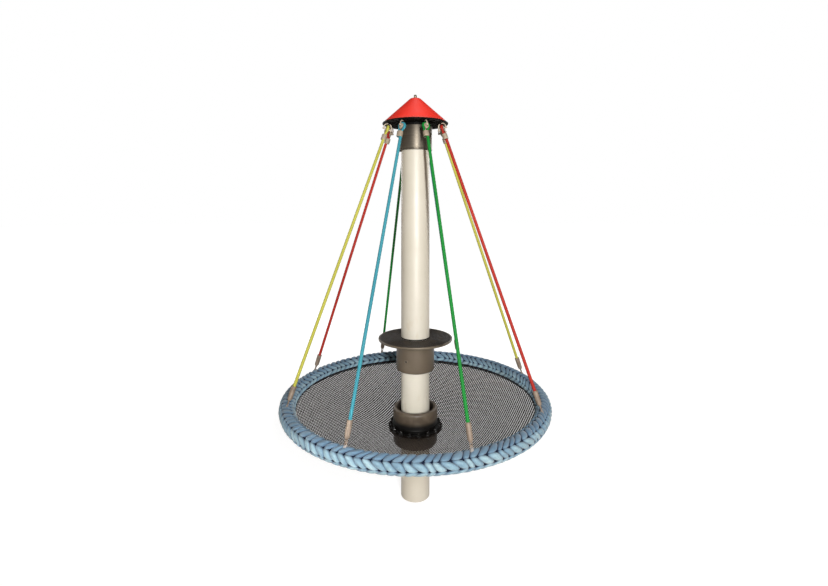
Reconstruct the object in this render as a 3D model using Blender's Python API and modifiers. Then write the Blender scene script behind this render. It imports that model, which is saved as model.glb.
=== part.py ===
"""Net carousel on a fixed mast: a post that stands still and a rotor that hangs from its top.

Units are metres, +Z is up, and the origin is the centre of the post's foot at ground level.
The front is -Y. A rope station's angle is measured from the front towards +X.
"""
import math

import bmesh
import bpy
from mathutils import Matrix, Vector

GAP = 0.0003

# Mast
POST_RADIUS = 0.08415
POST_WALL = 0.005
POST_TOP = 2.150
POST_FOOT_THICK = 0.010
HEAD_RADIUS = 0.0838
HEAD_PLUG_DEPTH = 0.030
HEAD_TOP = 2.160
SPINDLE_RADIUS = 0.020
SPINDLE_TOP = 2.225
FOOT_PLATE_RADIUS = 0.2186
FOOT_PLATE_TOP = 0.932
FOOT_PLATE_THICK = 0.012
FOOT_PLATE_EDGE = 0.003
HUB_RADIUS = 0.112
HUB_BOTTOM = 0.744
HUB_ROUND = 0.014
SET_SCREW_RADIUS = 0.005
SET_SCREW_ANGLE = math.radians(-28.3)
SET_SCREW_HEIGHT = 0.815
SET_SCREW_SINK = 0.002

# Cap and bearing
SLEEVE_RADIUS = 0.0999
SLEEVE_BORE = 0.0915
SLEEVE_BOTTOM = 2.038
SLEEVE_TOP = 2.179
SLEEVE_CHAMFER = 0.0015
SEAL_RADIUS = 0.0975
SEAL_BORE = 0.070
PLATE_RADIUS = 0.1957
PLATE_BOTTOM = 2.1955
PLATE_TOP = 2.2010
PLATE_EDGE = 0.002
BOSS_RADIUS = 0.045
BOSS_TOP = 2.240
SPINDLE_BORE = 0.0206
SPINDLE_BORE_TOP = 2.2285
CONE_TOP = 2.3485
CONE_TOP_RADIUS = 0.032
CONE_RADIUS = 0.184
CONE_LIP_TOP = 2.2095
CONE_WALL = 0.003
STUD_RADIUS = 0.005
NUT_RADIUS = 0.011
NUT_WALL_HEIGHT = 0.011
NUT_TOP = 2.373

# Rope stations
STATIONS = 8
STATION_STEP = 2 * math.pi / STATIONS
FIRST_STATION = math.radians(-70.2)
EYE_RADIUS_OUT = 0.175
EYE_HEIGHT = 2.156
FOOT_EYE_RADIUS_OUT = 0.730
FOOT_EYE_HEIGHT = 0.643
ROPE_RADIUS = 0.009
ROPE_PRESSED = 0.0075
MAIN_LEG = 0.0022
TAIL_LEG = -0.0132
EYE_BEND = 0.016
EYE_ARC_STEPS = 8
EYE_LEG_START = 0.0305
ROPE_SWELL = 0.008
FERRULE_TOP = 0.0328
FERRULE_BOTTOM = 0.066
FERRULE_HALF_WIDTH = 0.017
FERRULE_HALF_DEPTH = 0.013
TAIL_END = 0.062

# Shackle, lug and the fitting at a rope's foot
SHACKLE_BAR = 0.0035
SHACKLE_HALF_WIDTH = 0.022
SHACKLE_HEIGHT = 0.0334
SHACKLE_ARC_STEPS = 8
BUSH_LENGTH = 0.020
LUG_WIDTH = 0.016
LUG_DEPTH = 0.008
LUG_BOTTOM = 0.0257
LUG_TOP = 0.045
LUG_HOLE = 0.0045
LUG_HOLE_HEIGHT = 0.0330
FITTING_TOP = 0.093
FITTING_BOTTOM = 0.0095
FITTING_TOP_RADIUS = 0.0136
FITTING_BOTTOM_RADIUS = 0.0120
FITTING_BORE_DEPTH = 0.020
FOOT_EYE_RADIUS = 0.0125
FOOT_EYE_HOLE = 0.0062
FOOT_EYE_THICK = 0.007
STEM_RADIUS = 0.0055
STEM_START = 0.009
STEM_END = 0.030

# Ring, net and collar
RING_RADIUS = 0.734
RING_HEIGHT = 0.581
BRAID_RADIUS = 0.044
NET_THICK = 0.004
NET_OUTER_HEIGHT = 0.5650
NET_MIDDLE_RADIUS = 0.420
NET_MIDDLE_HEIGHT = 0.4830
NET_CLAMP_RADIUS = 0.162
NET_INNER_RADIUS = 0.1330
NET_BOTTOM = 0.4068
NET_SECTORS = 24
NET_ROWS = 3
NET_BAR = 0.014
COLLAR_BORE = 0.108
COLLAR_RADIUS = 0.1315
COLLAR_TOP = 0.5235
COLLAR_TOP_ROUND = 0.016
LOWER_COLLAR_RADIUS = 0.130
LOWER_COLLAR_BOTTOM = 0.316
LOWER_COLLAR_ROUND = 0.016
LOWER_FLANGE_THICK = 0.008
LOWER_FLANGE_RADIUS = 0.158
CLAMP_RADIUS = 0.161
CLAMP_THICK = 0.008
CLAMP_BOLTS = 18
FIRST_BOLT = math.radians(-82.6)
BOLT_CIRCLE = 0.1475
BOLT_RADIUS = 0.0085
BOLT_HEIGHT = 0.010
BOLT_SINK = 0.002

# Facets
POST_SEGMENTS = 40
RING_SEGMENTS = 72
BRAID_SEGMENTS = 12
CORNER_STEPS = 3
SMALL_SEGMENTS = 12


def clear_scene():
    for item in list(bpy.data.objects):
        bpy.data.objects.remove(item, do_unlink=True)


def new_collection(name):
    collection = bpy.data.collections.new(name)
    bpy.context.scene.collection.children.link(collection)
    return collection


clear_scene()
PARTS = new_collection("net_carousel")
CUTTERS = new_collection("cutters")


def material(name, colour, roughness, metallic=0.0):
    """A Principled material from an sRGB colour given as 0 to 255."""
    made = bpy.data.materials.new(name)
    made.use_nodes = True
    shader = made.node_tree.nodes["Principled BSDF"]
    linear = [(channel / 255) ** 2.2 for channel in colour]
    shader.inputs["Base Color"].default_value = (*linear, 1.0)
    shader.inputs["Roughness"].default_value = roughness
    shader.inputs["Metallic"].default_value = metallic
    made.diffuse_color = (*linear, 1.0)
    return made


POST_PAINT = (225, 216, 197)
DARK_METAL = (110, 98, 82)
BLACK = (27, 22, 20)
RED_PAINT = (236, 62, 46)
STEEL = (190, 178, 160)
CAST_BROWN = (75, 65, 55)
BRAID_BLUE = (120, 158, 182)
NET_GREY = (90, 84, 82)
ROPE_COLOURS = {
    "yellow": (225, 228, 90),
    "blue": (85, 190, 215),
    "green": (35, 160, 80),
    "red": (200, 45, 50),
}


def link_part(part, finish, parent):
    PARTS.objects.link(part)
    part.data.materials.clear()
    part.data.materials.append(finish)
    part.parent = parent


def shade(mesh, angle=35):
    mesh.shade_smooth()
    mesh.set_sharp_from_angle(angle=math.radians(angle))


def turned_mesh(name, profile, segments, closed):
    """A profile of (radius, height) points turned once round the Z axis, as a plain mesh."""
    outline = bpy.data.meshes.new(name)
    count = len(profile)
    edges = [(index, index + 1) for index in range(count - 1)]
    if closed:
        edges.append((count - 1, 0))
    outline.from_pydata([(radius, 0, height) for radius, height in profile], edges, [])
    lathe = bpy.data.objects.new(name + "_outline", outline)
    CUTTERS.objects.link(lathe)
    screw = lathe.modifiers.new("turn", "SCREW")
    screw.angle = 2 * math.pi
    screw.steps = segments
    screw.render_steps = segments
    screw.use_merge_vertices = True
    screw.merge_threshold = 0.00001
    return baked(lathe, name)


def baked(source, name):
    """The evaluated mesh of an object, which is then removed."""
    graph = bpy.context.evaluated_depsgraph_get()
    graph.update()
    mesh = bpy.data.meshes.new_from_object(source.evaluated_get(graph))
    mesh.transform(source.matrix_world)
    mesh.name = name
    bpy.data.objects.remove(source, do_unlink=True)
    work = bmesh.new()
    work.from_mesh(mesh)
    bmesh.ops.remove_doubles(work, verts=work.verts, dist=0.00001)
    work.to_mesh(mesh)
    work.free()
    return mesh


def turned(name, profile, finish, parent, segments=POST_SEGMENTS, closed=True):
    mesh = turned_mesh(name, profile, segments, closed)
    shade(mesh)
    part = bpy.data.objects.new(name, mesh)
    link_part(part, finish, parent)
    return part


def rod_mesh(name, start, end, radius, segments=SMALL_SEGMENTS, end_radius=None):
    """A straight round rod, or a taper where end_radius is given, between two points."""
    axis = end - start
    turn = axis.to_track_quat("Z", "Y").to_matrix().to_4x4()
    mesh = bpy.data.meshes.new(name)
    work = bmesh.new()
    bmesh.ops.create_cone(
        work,
        cap_ends=True,
        segments=segments,
        radius1=radius,
        radius2=radius if end_radius is None else end_radius,
        depth=axis.length,
        matrix=Matrix.Translation((start + end) / 2) @ turn,
    )
    work.to_mesh(mesh)
    work.free()
    return mesh


def bent_rod_mesh(name, points, radius, factors=None, cyclic=False, roundness=2):
    """A round bar along a chain of points, as a mesh with welded caps."""
    curve = bpy.data.curves.new(name, "CURVE")
    curve.dimensions = "3D"
    curve.bevel_depth = radius
    curve.bevel_resolution = roundness
    curve.render_resolution_u = 0
    curve.use_fill_caps = not cyclic
    spline = curve.splines.new("POLY")
    spline.points.add(len(points) - 1)
    for index, point in enumerate(points):
        spline.points[index].co = (*point, 1)
        spline.points[index].radius = 1 if factors is None else factors[index]
    spline.use_cyclic_u = cyclic
    bar = bpy.data.objects.new(name, curve)
    CUTTERS.objects.link(bar)
    mesh = baked(bar, name)
    bpy.data.curves.remove(curve)
    return mesh


def combine(base, steps):
    """A mesh after a chain of Booleans, each step being (operation, mesh)."""
    body = bpy.data.objects.new(base.name + "_body", base)
    CUTTERS.objects.link(body)
    tools = []
    for operation, mesh in steps:
        tool = bpy.data.objects.new(mesh.name + "_tool", mesh)
        tool.hide_render = True
        tool.display_type = "WIRE"
        CUTTERS.objects.link(tool)
        tools.append(tool)
        cut = body.modifiers.new(operation.lower(), "BOOLEAN")
        cut.operation = operation
        cut.solver = "EXACT"
        cut.object = tool
    result = baked(body, base.name)
    for tool in tools:
        bpy.data.objects.remove(tool, do_unlink=True)
    return result


def joined(name, meshes):
    """Several meshes that don't touch, as one tool mesh."""
    work = bmesh.new()
    for mesh in meshes:
        work.from_mesh(mesh)
    result = bpy.data.meshes.new(name)
    work.to_mesh(result)
    work.free()
    return result


def arc(centre, radius, start, end, steps):
    """Points of (radius, height) on an arc, angles in degrees from +X towards +Z."""
    points = []
    for index in range(steps + 1):
        angle = math.radians(start + (end - start) * index / steps)
        points.append((centre[0] + radius * math.cos(angle), centre[1] + radius * math.sin(angle)))
    return points


class Station:
    """Axes of the first rope: across the rope, down along it, and outwards square to both."""

    def __init__(self, angle):
        outward = Vector((math.sin(angle), -math.cos(angle), 0))
        self.across = Vector((math.cos(angle), math.sin(angle), 0))
        self.eye = outward * EYE_RADIUS_OUT + Vector((0, 0, EYE_HEIGHT))
        self.foot = outward * FOOT_EYE_RADIUS_OUT + Vector((0, 0, FOOT_EYE_HEIGHT))
        self.down = (self.foot - self.eye).normalized()
        self.length = (self.foot - self.eye).length
        self.out = self.across.cross(self.down) * -1

    def at_top(self, across=0.0, down=0.0, out=0.0):
        return self.eye + self.across * across + self.down * down + self.out * out

    def at_foot(self, across=0.0, down=0.0, out=0.0):
        return self.foot + self.across * across + self.down * down + self.out * out


def build_post(mast):
    paint = material("post_paint", POST_PAINT, 0.35)
    inner = POST_RADIUS - POST_WALL
    profile = [
        (0, POST_FOOT_THICK),
        (inner, POST_FOOT_THICK),
        (inner, POST_TOP),
        (POST_RADIUS, POST_TOP),
        (POST_RADIUS, 0),
        (0, 0),
    ]
    turned("post", profile, paint, mast, closed=False)


def build_post_head(mast):
    steel = material("head_steel", STEEL, 0.4, 0.8)
    plug = POST_RADIUS - POST_WALL - GAP
    seat = POST_TOP + GAP
    profile = [
        (0, SPINDLE_TOP),
        (SPINDLE_RADIUS, SPINDLE_TOP),
        (SPINDLE_RADIUS, HEAD_TOP),
        (HEAD_RADIUS, HEAD_TOP),
        (HEAD_RADIUS, seat),
        (plug, seat),
        (plug, seat - HEAD_PLUG_DEPTH),
        (0, seat - HEAD_PLUG_DEPTH),
    ]
    turned("post_head", profile, steel, mast, closed=False)


def build_foot_plate(mast):
    bore = POST_RADIUS + GAP
    bottom = FOOT_PLATE_TOP - FOOT_PLATE_THICK
    plate_finish = material("foot_plate_black", BLACK, 0.5)
    plate = [
        (bore, FOOT_PLATE_TOP),
        (FOOT_PLATE_RADIUS - FOOT_PLATE_EDGE, FOOT_PLATE_TOP),
        (FOOT_PLATE_RADIUS, FOOT_PLATE_TOP - FOOT_PLATE_EDGE),
        (FOOT_PLATE_RADIUS, bottom + FOOT_PLATE_EDGE),
        (FOOT_PLATE_RADIUS - FOOT_PLATE_EDGE, bottom),
        (bore, bottom),
    ]
    turned("foot_plate", plate, plate_finish, mast)

    hub_finish = material("hub_brown", DARK_METAL, 0.45)
    round_centre = (HUB_RADIUS - HUB_ROUND, HUB_BOTTOM + HUB_ROUND)
    hub = [(bore, bottom - GAP), (HUB_RADIUS, bottom - GAP)]
    hub += arc(round_centre, HUB_ROUND, 0, -90, CORNER_STEPS)
    hub += [(bore, HUB_BOTTOM)]
    hub_mesh = turned_mesh("foot_plate_hub", hub, POST_SEGMENTS, True)
    outward = Vector((math.sin(SET_SCREW_ANGLE), -math.cos(SET_SCREW_ANGLE), 0))
    height = Vector((0, 0, SET_SCREW_HEIGHT))
    hole = rod_mesh("screw_hole", outward * (bore - 0.01) + height, outward * (HUB_RADIUS + 0.01) + height,
                    SET_SCREW_RADIUS + GAP)
    hub_mesh = combine(hub_mesh, [("DIFFERENCE", hole)])
    shade(hub_mesh)
    link_part(bpy.data.objects.new("foot_plate_hub", hub_mesh), hub_finish, mast)

    screw = rod_mesh("set_screw", outward * (bore + GAP) + height,
                     outward * (HUB_RADIUS - SET_SCREW_SINK) + height, SET_SCREW_RADIUS)
    shade(screw)
    screw_finish = material("screw_steel", BLACK, 0.4, 0.6)
    link_part(bpy.data.objects.new("set_screw", screw), screw_finish, mast)


def build_bearing(rotor):
    sleeve_finish = material("sleeve_metal", DARK_METAL, 0.35, 0.3)
    sleeve = [
        (SLEEVE_BORE, SLEEVE_TOP),
        (SLEEVE_RADIUS - SLEEVE_CHAMFER, SLEEVE_TOP),
        (SLEEVE_RADIUS, SLEEVE_TOP - SLEEVE_CHAMFER),
        (SLEEVE_RADIUS, SLEEVE_BOTTOM + SLEEVE_CHAMFER),
        (SLEEVE_RADIUS - SLEEVE_CHAMFER, SLEEVE_BOTTOM),
        (SLEEVE_BORE, SLEEVE_BOTTOM),
    ]
    turned("bearing_sleeve", sleeve, sleeve_finish, rotor)
    seal = [
        (SEAL_BORE, PLATE_BOTTOM - GAP),
        (SEAL_RADIUS, PLATE_BOTTOM - GAP),
        (SEAL_RADIUS, SLEEVE_TOP + GAP),
        (SEAL_BORE, SLEEVE_TOP + GAP),
    ]
    turned("seal_ring", seal, material("seal_black", BLACK, 0.6), rotor)


def lug_meshes(angle):
    """The block of one lug, and the tool for the hole that the shackle's bow runs through."""
    station = Station(angle)
    block = bpy.data.meshes.new("lug")
    work = bmesh.new()
    frame = Matrix((station.across, station.down, station.out)).transposed().to_4x4()
    middle = Matrix.Translation(station.at_top(down=-(LUG_BOTTOM + LUG_TOP) / 2))
    size = Matrix.Diagonal((LUG_WIDTH, LUG_TOP - LUG_BOTTOM, LUG_DEPTH, 1))
    bmesh.ops.create_cube(work, size=1, matrix=middle @ frame @ size)
    bmesh.ops.recalc_face_normals(work, faces=work.faces)
    work.to_mesh(block)
    work.free()
    hole = rod_mesh("lug_hole", station.at_top(down=-LUG_HOLE_HEIGHT, out=-LUG_DEPTH),
                    station.at_top(down=-LUG_HOLE_HEIGHT, out=LUG_DEPTH), LUG_HOLE)
    return block, hole


def build_cap(rotor):
    black = material("cap_black", BLACK, 0.5)
    profile = [
        (0, BOSS_TOP),
        (BOSS_RADIUS, BOSS_TOP),
        (BOSS_RADIUS, PLATE_TOP),
        (PLATE_RADIUS, PLATE_TOP),
        (PLATE_RADIUS, PLATE_BOTTOM + PLATE_EDGE),
        (PLATE_RADIUS - PLATE_EDGE, PLATE_BOTTOM),
        (BOSS_RADIUS, PLATE_BOTTOM),
        (BOSS_RADIUS, HEAD_TOP + GAP),
        (SPINDLE_BORE, HEAD_TOP + GAP),
        (SPINDLE_BORE, SPINDLE_BORE_TOP),
        (0, SPINDLE_BORE_TOP),
    ]
    plate = turned_mesh("cap_plate", profile, POST_SEGMENTS, False)
    blocks = []
    holes = []
    for index in range(STATIONS):
        block, hole = lug_meshes(FIRST_STATION + index * STATION_STEP)
        blocks.append(block)
        holes.append(hole)
    plate = combine(plate, [("UNION", joined("lugs", blocks)), ("DIFFERENCE", joined("lug_holes", holes))])
    shade(plate)
    link_part(bpy.data.objects.new("cap_plate", plate), black, rotor)

    slope = math.atan2(CONE_TOP - CONE_LIP_TOP, CONE_RADIUS - CONE_TOP_RADIUS)
    shift = CONE_WALL * math.tan(slope / 2)
    cone = [
        (STUD_RADIUS + GAP, CONE_TOP),
        (CONE_TOP_RADIUS, CONE_TOP),
        (CONE_RADIUS, CONE_LIP_TOP),
        (CONE_RADIUS, PLATE_TOP + GAP),
        (CONE_RADIUS - CONE_WALL, PLATE_TOP + GAP),
        (CONE_RADIUS - CONE_WALL, CONE_LIP_TOP - shift),
        (CONE_TOP_RADIUS - shift, CONE_TOP - CONE_WALL),
        (STUD_RADIUS + GAP, CONE_TOP - CONE_WALL),
    ]
    turned("cap_cone", cone, material("cap_red", RED_PAINT, 0.35), rotor)

    seat = CONE_TOP + GAP
    dome_height = NUT_TOP - seat - NUT_WALL_HEIGHT
    dome = [
        (NUT_RADIUS * math.sin(math.radians(angle)), seat + NUT_WALL_HEIGHT
         + dome_height * math.cos(math.radians(angle)))
        for angle in (0, 30, 60, 90)
    ]
    nut = dome + [
        (NUT_RADIUS, seat),
        (STUD_RADIUS, seat),
        (STUD_RADIUS, BOSS_TOP + GAP),
        (0, BOSS_TOP + GAP),
    ]
    turned("cap_nut", nut, material("nut_steel", STEEL, 0.35, 0.8), rotor, SMALL_SEGMENTS, closed=False)


def repeat(name, mesh, finishes, parent):
    """One object for each rope station, turned about the mast from the first one."""
    shade(mesh)
    for index in range(STATIONS):
        copy = mesh.copy()
        part = bpy.data.objects.new(f"{name}_{index + 1}", copy)
        link_part(part, finishes[index % len(finishes)], parent)
        part.rotation_euler.z = index * STATION_STEP


def eye_angle(leg):
    """Angle from straight down at which a rope leg leaves the round of its eye."""
    reach = math.hypot(leg, EYE_LEG_START)
    return math.atan2(leg, EYE_LEG_START) + math.acos(EYE_BEND / reach)


def build_ropes(rotor, station):
    first = eye_angle(MAIN_LEG)
    last = 2 * math.pi - eye_angle(-TAIL_LEG)
    pressed = ROPE_PRESSED / ROPE_RADIUS
    foot_gap = FITTING_TOP - FITTING_BORE_DEPTH
    points = [
        station.at_top(down=station.length - foot_gap - GAP),
        station.at_top(across=MAIN_LEG, down=FERRULE_BOTTOM + ROPE_SWELL),
        station.at_top(across=MAIN_LEG, down=FERRULE_BOTTOM + GAP),
        station.at_top(across=MAIN_LEG, down=EYE_LEG_START),
    ]
    factors = [1, 1, pressed, pressed]
    for index in range(EYE_ARC_STEPS + 1):
        angle = first + (last - first) * index / EYE_ARC_STEPS
        points.append(station.at_top(EYE_BEND * math.sin(angle), EYE_BEND * math.cos(angle)))
        factors.append(1)
    points += [
        station.at_top(across=TAIL_LEG, down=EYE_LEG_START),
        station.at_top(across=TAIL_LEG, down=TAIL_END),
    ]
    factors += [pressed, pressed]
    rope = bent_rod_mesh("rope", points, ROPE_RADIUS, factors)
    finishes = [material(f"rope_{name}", colour, 0.6) for name, colour in ROPE_COLOURS.items()]
    repeat("rope", rope, finishes, rotor)


def build_ferrules(rotor, station):
    ferrule = bpy.data.meshes.new("top_ferrule")
    work = bmesh.new()
    frame = Matrix((station.across, station.out, station.down)).transposed().to_4x4()
    between = (MAIN_LEG + TAIL_LEG) / 2
    middle = Matrix.Translation(station.at_top(across=between, down=(FERRULE_TOP + FERRULE_BOTTOM) / 2))
    squash = Matrix.Diagonal((1, FERRULE_HALF_DEPTH / FERRULE_HALF_WIDTH, 1, 1))
    bmesh.ops.create_cone(work, cap_ends=True, segments=SMALL_SEGMENTS, radius1=FERRULE_HALF_WIDTH,
                          radius2=FERRULE_HALF_WIDTH, depth=FERRULE_BOTTOM - FERRULE_TOP,
                          matrix=middle @ frame @ squash)
    bmesh.ops.recalc_face_normals(work, faces=work.faces)
    work.to_mesh(ferrule)
    work.free()
    bore = ROPE_PRESSED + 2 * GAP
    beyond = 0.01
    main = rod_mesh("rope_bore", station.at_top(MAIN_LEG, FERRULE_TOP - beyond),
                    station.at_top(MAIN_LEG, FERRULE_BOTTOM + beyond), bore)
    tail = rod_mesh("tail_bore", station.at_top(TAIL_LEG, FERRULE_TOP - beyond),
                    station.at_top(TAIL_LEG, TAIL_END + GAP), bore)
    ferrule = combine(ferrule, [("DIFFERENCE", main), ("DIFFERENCE", tail)])
    repeat("top_ferrule", ferrule, [material("ferrule_metal", STEEL, 0.4, 0.6)], rotor)


def build_shackles(rotor, station):
    """A bow that hangs from the lug, closed by a pin with the thimble's bush on it."""
    straight = SHACKLE_HEIGHT - SHACKLE_HALF_WIDTH
    points = [station.at_top(out=-SHACKLE_HALF_WIDTH), station.at_top(out=SHACKLE_HALF_WIDTH)]
    for index in range(SHACKLE_ARC_STEPS + 1):
        angle = math.pi * index / SHACKLE_ARC_STEPS
        points.append(station.at_top(
            down=-straight - SHACKLE_HALF_WIDTH * math.sin(angle),
            out=SHACKLE_HALF_WIDTH * math.cos(angle),
        ))
    bow = bent_rod_mesh("top_shackle", points, SHACKLE_BAR, cyclic=True, roundness=1)
    bush = rod_mesh("bush", station.at_top(out=-BUSH_LENGTH / 2), station.at_top(out=BUSH_LENGTH / 2),
                    EYE_BEND - ROPE_RADIUS - GAP, 10)
    shackle = combine(bow, [("UNION", bush)])
    repeat("top_shackle", shackle, [material("shackle_steel", STEEL, 0.35, 0.8)], rotor)


def ring_mesh(name, radius):
    section = [
        (RING_RADIUS + radius * math.cos(angle), RING_HEIGHT + radius * math.sin(angle))
        for angle in (-2 * math.pi * index / BRAID_SEGMENTS for index in range(BRAID_SEGMENTS))
    ]
    return turned_mesh(name, section, RING_SEGMENTS, True)


def build_end_fittings(rotor, station):
    sleeve = rod_mesh("end_fitting", station.at_foot(down=-FITTING_TOP), station.at_foot(down=-FITTING_BOTTOM),
                      FITTING_TOP_RADIUS, SMALL_SEGMENTS, FITTING_BOTTOM_RADIUS)
    eye = rod_mesh("foot_eye", station.at_foot(out=-FOOT_EYE_THICK / 2), station.at_foot(out=FOOT_EYE_THICK / 2),
                   FOOT_EYE_RADIUS)
    stem = rod_mesh("stem", station.at_foot(down=STEM_START), station.at_foot(down=STEM_END), STEM_RADIUS, 8)
    hole = rod_mesh("foot_eye_hole", station.at_foot(out=-0.02), station.at_foot(out=0.02), FOOT_EYE_HOLE, 8)
    bore = rod_mesh("foot_bore", station.at_foot(down=-FITTING_TOP - 0.01),
                    station.at_foot(down=FITTING_BORE_DEPTH - FITTING_TOP), ROPE_RADIUS + 2 * GAP)
    fitting = combine(sleeve, [
        ("UNION", eye),
        ("UNION", stem),
        ("DIFFERENCE", hole),
        ("DIFFERENCE", bore),
        ("DIFFERENCE", ring_mesh("ring_tool", BRAID_RADIUS + GAP)),
    ])
    repeat("end_fitting", fitting, [material("fitting_metal", STEEL, 0.45, 0.5)], rotor)


def build_ring(rotor):
    ring = ring_mesh("ring_braid", BRAID_RADIUS)
    shade(ring)
    link_part(bpy.data.objects.new("ring_braid", ring), material("braid_blue", BRAID_BLUE, 0.8), rotor)


def net_rings(outer):
    """Radii of the net's rings of points, and which bands between them hold the openings."""
    radii = [NET_INNER_RADIUS, NET_CLAMP_RADIUS]
    open_bands = []
    for start, end in ((NET_CLAMP_RADIUS, NET_MIDDLE_RADIUS), (NET_MIDDLE_RADIUS, outer)):
        clear = (end - start - (NET_ROWS + 1) * NET_BAR) / NET_ROWS
        for row in range(NET_ROWS):
            opening = start + NET_BAR + row * (clear + NET_BAR)
            open_bands.append(len(radii))
            radii += [opening, opening + clear]
        radii.append(end)
    return radii, open_bands


def net_height(radius, outer):
    """Height of the middle of the net's thickness."""
    low = (NET_CLAMP_RADIUS, NET_BOTTOM + NET_THICK / 2)
    middle = (NET_MIDDLE_RADIUS, NET_MIDDLE_HEIGHT)
    if radius <= low[0]:
        return low[1]
    start, end = (low, middle) if radius <= middle[0] else (middle, (outer, NET_OUTER_HEIGHT))
    return start[1] + (end[1] - start[1]) * (radius - start[0]) / (end[0] - start[0])


def net_skin(work, radii, heights):
    """One side of the net: a ring of vertices for each radius, three for each sector."""
    skin = []
    for radius, height in zip(radii, heights):
        half = math.asin(NET_BAR / 2 / radius)
        ring = []
        for sector in range(NET_SECTORS):
            bar = 2 * math.pi * sector / NET_SECTORS
            for angle in (bar - half, bar + half, bar + math.pi / NET_SECTORS):
                ring.append(work.verts.new((radius * math.cos(angle), radius * math.sin(angle), height)))
        skin.append(ring)
    return skin


def build_net(rotor):
    """A thin shallow cone with a plain grid of openings, from the inner side of the ring to the clamp."""
    step = math.radians(360 / BRAID_SEGMENTS)
    side = (RING_RADIUS - BRAID_RADIUS, RING_HEIGHT)
    lower = (RING_RADIUS - BRAID_RADIUS * math.cos(step), RING_HEIGHT - BRAID_RADIUS * math.sin(step))

    flat = math.cos(math.pi / RING_SEGMENTS)

    def ring_side(height):
        share = (side[1] - height) / (side[1] - lower[1])
        return (side[0] + (lower[0] - side[0]) * share) * flat - GAP

    top_edge = ring_side(NET_OUTER_HEIGHT + NET_THICK / 2)
    bottom_edge = ring_side(NET_OUTER_HEIGHT - NET_THICK / 2)
    radii, open_bands = net_rings(top_edge)
    middles = [net_height(radius, top_edge) for radius in radii]
    work = bmesh.new()
    top = net_skin(work, radii, [height + NET_THICK / 2 for height in middles])
    bottom = net_skin(work, radii[:-1] + [bottom_edge], [height - NET_THICK / 2 for height in middles])

    bands = len(radii) - 1
    around = 3 * NET_SECTORS

    def solid(band, place):
        if band < 0 or band == bands:
            return False
        return band not in open_bands or place % 3 == 0

    for band in range(bands):
        for place in range(around):
            if not solid(band, place):
                continue
            after = (place + 1) % around
            corners = [(band, place), (band, after), (band + 1, after), (band + 1, place)]
            beyond = [(band - 1, place), (band, after), (band + 1, place), (band, place - 1)]
            work.faces.new([top[ring][point] for ring, point in corners])
            work.faces.new([bottom[ring][point] for ring, point in corners])
            for index, cell in enumerate(beyond):
                if solid(*cell):
                    continue
                first, second = corners[index], corners[(index + 1) % 4]
                work.faces.new([top[first[0]][first[1]], top[second[0]][second[1]],
                                bottom[second[0]][second[1]], bottom[first[0]][first[1]]])
    bmesh.ops.triangulate(work, faces=work.faces)
    bmesh.ops.recalc_face_normals(work, faces=work.faces)
    net = bpy.data.meshes.new("net")
    work.to_mesh(net)
    work.free()
    shade(net)
    link_part(bpy.data.objects.new("net", net), material("net_grey", NET_GREY, 0.8), rotor)


def build_collar(rotor):
    cast = material("collar_brown", CAST_BROWN, 0.5)
    seam = NET_BOTTOM
    top_centre = (COLLAR_RADIUS - COLLAR_TOP_ROUND, COLLAR_TOP - COLLAR_TOP_ROUND)
    upper = [(COLLAR_BORE, COLLAR_TOP)]
    upper += arc(top_centre, COLLAR_TOP_ROUND, 90, 0, CORNER_STEPS)
    upper += [(COLLAR_RADIUS, seam), (COLLAR_BORE, seam)]
    turned("collar_upper", upper, cast, rotor)

    flange_top = seam - GAP
    flange_bottom = flange_top - LOWER_FLANGE_THICK
    round_centre = (LOWER_COLLAR_RADIUS - LOWER_COLLAR_ROUND, LOWER_COLLAR_BOTTOM + LOWER_COLLAR_ROUND)
    lower = [
        (COLLAR_BORE, flange_top),
        (LOWER_FLANGE_RADIUS, flange_top),
        (LOWER_FLANGE_RADIUS, flange_bottom),
        (LOWER_COLLAR_RADIUS, flange_bottom),
    ]
    lower += arc(round_centre, LOWER_COLLAR_ROUND, 0, -90, CORNER_STEPS)
    lower += [(COLLAR_BORE, LOWER_COLLAR_BOTTOM)]
    turned("collar_lower", lower, cast, rotor)

    clamp_bottom = NET_BOTTOM + NET_THICK + GAP
    clamp_top = clamp_bottom + CLAMP_THICK
    bore = COLLAR_RADIUS + GAP
    flange = [
        (bore, clamp_top),
        (CLAMP_RADIUS, clamp_top),
        (CLAMP_RADIUS, clamp_bottom),
        (bore, clamp_bottom),
    ]
    clamp = turned_mesh("clamp_ring", flange, POST_SEGMENTS, True)
    nuts = []
    for index in range(CLAMP_BOLTS):
        angle = FIRST_BOLT + 2 * math.pi * index / CLAMP_BOLTS
        foot = Vector((BOLT_CIRCLE * math.cos(angle), BOLT_CIRCLE * math.sin(angle), clamp_top))
        nuts.append(rod_mesh("nut", foot - Vector((0, 0, BOLT_SINK)), foot + Vector((0, 0, BOLT_HEIGHT)),
                             BOLT_RADIUS, 8, BOLT_RADIUS * 0.6))
    clamp = combine(clamp, [("UNION", joined("nuts", nuts))])
    shade(clamp)
    link_part(bpy.data.objects.new("clamp_ring", clamp), material("clamp_black", BLACK, 0.5), rotor)


def main():
    mast = bpy.data.objects.new("mast_axis", None)
    rotor = bpy.data.objects.new("rotor_axis", None)
    PARTS.objects.link(mast)
    PARTS.objects.link(rotor)
    build_post(mast)
    build_post_head(mast)
    build_foot_plate(mast)
    build_bearing(rotor)
    build_cap(rotor)
    station = Station(FIRST_STATION)
    build_ropes(rotor, station)
    build_ferrules(rotor, station)
    build_shackles(rotor, station)
    build_end_fittings(rotor, station)
    build_ring(rotor)
    build_net(rotor)
    build_collar(rotor)


main()
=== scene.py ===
import math

import bmesh
import bpy
from mathutils import Matrix, Vector


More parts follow.
